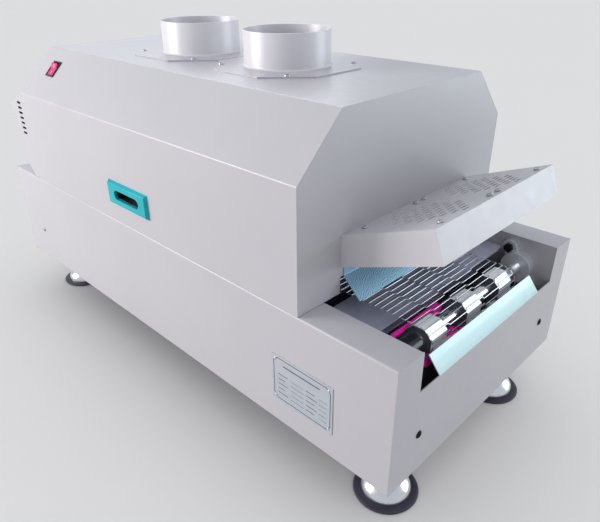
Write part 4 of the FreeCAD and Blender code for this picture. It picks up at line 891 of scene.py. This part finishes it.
# How far each piece's edges are eased
EASED = {
    "base_shell": 0.0, "hood_skin": 0.35 * MM, "hood_outlet_plate": 0.3 * MM, "hood_inlet_plate": 0.3 * MM,
    "outlet_cowl": 0.3 * MM, "inlet_side_exhaust_plate": 0.5 * MM, "outlet_side_exhaust_plate": 0.5 * MM,
    "control_console": 0.5 * MM, "outlet_flap": 0.3 * MM, "drive_bearings": 0.9 * MM,
    "tail_bearings": 0.9 * MM, "handle_frame": 0.8 * MM, "handle_cup": 0.4 * MM, "switch_bezel": 0.4 * MM,
    "switch_rocker": 0.5 * MM, "lower_deck": 0.3 * MM, "front_side_frame": 0.3 * MM,
    "back_side_frame": 0.3 * MM, "belt_support_rods": 0.6 * MM, "drive_shaft": 0.5 * MM,
    "tail_shaft": 0.5 * MM, "fan_frames": 0.5 * MM, "front_fan_rotor": 0.4 * MM, "back_fan_rotor": 0.4 * MM,
    "power_inlet": 0.5 * MM, "foot_studs": 0.4 * MM, "drive_collar": 1.0 * MM,
    "hinge_base_leaves": 0.15 * MM, "hinge_hood_leaves": 0.15 * MM, "upper_heater_tray": 0.3 * MM,
    "lower_heater_tray": 0.3 * MM, "upper_heater_tubes": 0.5 * MM, "lower_heater_tubes": 0.5 * MM,
    "drive_sprocket": 0.3 * MM, "motor_sprocket": 0.3 * MM,
}
for node, ease in EASED.items():
    eased_piece(node, ease)
for node in ("drive_drums", "tail_drums"):
    drum_end_finish(eased_piece(node, 0.8 * MM, DRUM_STEEL))
motor_red_dark_and_painted_shade(eased_piece("gearmotor", 1.0 * MM))
for side, node in ((1, "outlet_end_panel"), (-1, "inlet_end_panel")):
    panel_lip_painted_reflection(eased_piece(node, 0.35 * MM), side)
for node in ("inlet_side_exhaust_spigot", "outlet_side_exhaust_spigot"):
    exhaust_spigot(node)
wire_belt()
feet()
nameplate()
rocker_marks()
keypad()
fasteners()


# Studio

# Large lamps over the whole oven: name, place, aim, size, power and tint
WINDOWS = [
    ("front_window", (-1.4, -1.8, 1.0), (-0.1, -0.2, 0.3), 1.2, 55, (1.0, 0.97, 0.955)),
    ("back_window", (-1.9, 1.3, 2.0), (-0.1, 0, 0.45), 1.8, 24, (0.90, 0.96, 1.0)),
    ("outlet_window", (1.9, 2.1, 0.75), (0.4, 0, 0.28), 1.5, 29, (0.84, 0.95, 1.0)),
    ("roof_window", (0.75, 0.15, 1.75), (0.4, 0, 0.3), 0.9, 3, (0.90, 0.95, 1.0)),
]
# Small lamps at one place by the outlet end: name, power and the pieces that each one lights
NEAR_PLACE = {"at": (0.78, -0.62, 0.80), "aim": (0.41, -0.03, 0.2), "size": 0.25, "tint": (1.0, 0.99, 0.98)}
NEAR_LAMPS = [
    ("drive_lamp", 5, ("drive_bearings", "drive_collar")),
    ("motor_lamp", 6, ("gearmotor",)),
    ("drum_lamp", 2.5, ("drive_drums",)),
    ("cowl_lamp", 1.4, ("outlet_cowl",)),
]
SKY_TINT, SKY_STRENGTH = (0.925, 0.96, 1.03, 1), 0.62
FLOOR_TONE, FLOOR_HALF, FLOOR_THICKNESS = (0.94, 0.92, 0.885), 30, 0.02
WASH_POWER, WASH_ANGLE = 0.62, math.radians(100)


def area_light(name, at, aim, size, power, tint):
    lamp = bpy.data.lights.new(name, "AREA")
    lamp.shape = "SQUARE"
    lamp.size = size
    lamp.energy = power
    lamp.color = tint
    obj = bpy.data.objects.new(name, lamp)
    obj.location = at
    obj.rotation_euler = (Vector(aim) - Vector(at)).to_track_quat("-Z", "Y").to_euler()
    bpy.context.scene.collection.objects.link(obj)
    return obj


def studio():
    floor_mesh = as_mesh("studio_floor", slab((-FLOOR_HALF, -FLOOR_HALF, -FLOOR_THICKNESS),
                                              (FLOOR_HALF, FLOOR_HALF, 0)))
    floor_mesh.materials.append(surface("studio_floor", FLOOR_TONE, vary=0.004, blotch=0.4, rough=(0.9, 0.95),
                                        strength=0.0))
    floor = bpy.data.objects.new("studio_floor", floor_mesh)
    oven = bpy.data.collections.new("lit_oven")
    ground = bpy.data.collections.new("lit_floor")
    for obj in bpy.context.scene.objects:
        if obj.type == "MESH":
            oven.objects.link(obj)
    bpy.context.scene.collection.objects.link(floor)
    ground.objects.link(floor)
    world = bpy.data.worlds.new("studio")
    world.use_nodes = True
    sky = world.node_tree.nodes["Background"]
    sky.inputs["Color"].default_value = SKY_TINT
    sky.inputs["Strength"].default_value = SKY_STRENGTH
    bpy.context.scene.world = world
    for lamp in WINDOWS:
        area_light(*lamp).light_linking.receiver_collection = oven
    for name, power, lit in NEAR_LAMPS:
        spot = area_light(name, power=power, **NEAR_PLACE)
        spot.light_linking.receiver_collection = bpy.data.collections.new("lit_by_" + name)
        for node in lit:
            spot.light_linking.receiver_collection.objects.link(bpy.data.objects[node + "_finished"])
    wash = bpy.data.lights.new("floor_wash", "SUN")
    wash.energy = WASH_POWER
    wash.angle = WASH_ANGLE
    wash_lamp = bpy.data.objects.new("floor_wash", wash)
    bpy.context.scene.collection.objects.link(wash_lamp)
    wash_lamp.light_linking.receiver_collection = ground


def camera():
    lens = bpy.data.cameras.new("photo_camera")
    lens.sensor_fit = "HORIZONTAL"
    lens.sensor_width = SENSOR
    lens.lens = FOCAL_PIXELS / PHOTO_WIDTH * SENSOR
    lens.clip_start = 0.01
    obj = bpy.data.objects.new("photo_camera", lens)
    obj.location = EYE
    aim = (AIM - EYE).to_track_quat("-Z", "Y").to_matrix() @ Matrix.Rotation(-ROLL, 3, "Z")
    obj.rotation_euler = aim.to_euler()
    bpy.context.scene.collection.objects.link(obj)
    bpy.context.scene.camera = obj


studio()
camera()
bpy.context.scene.view_settings.view_transform = "Standard"
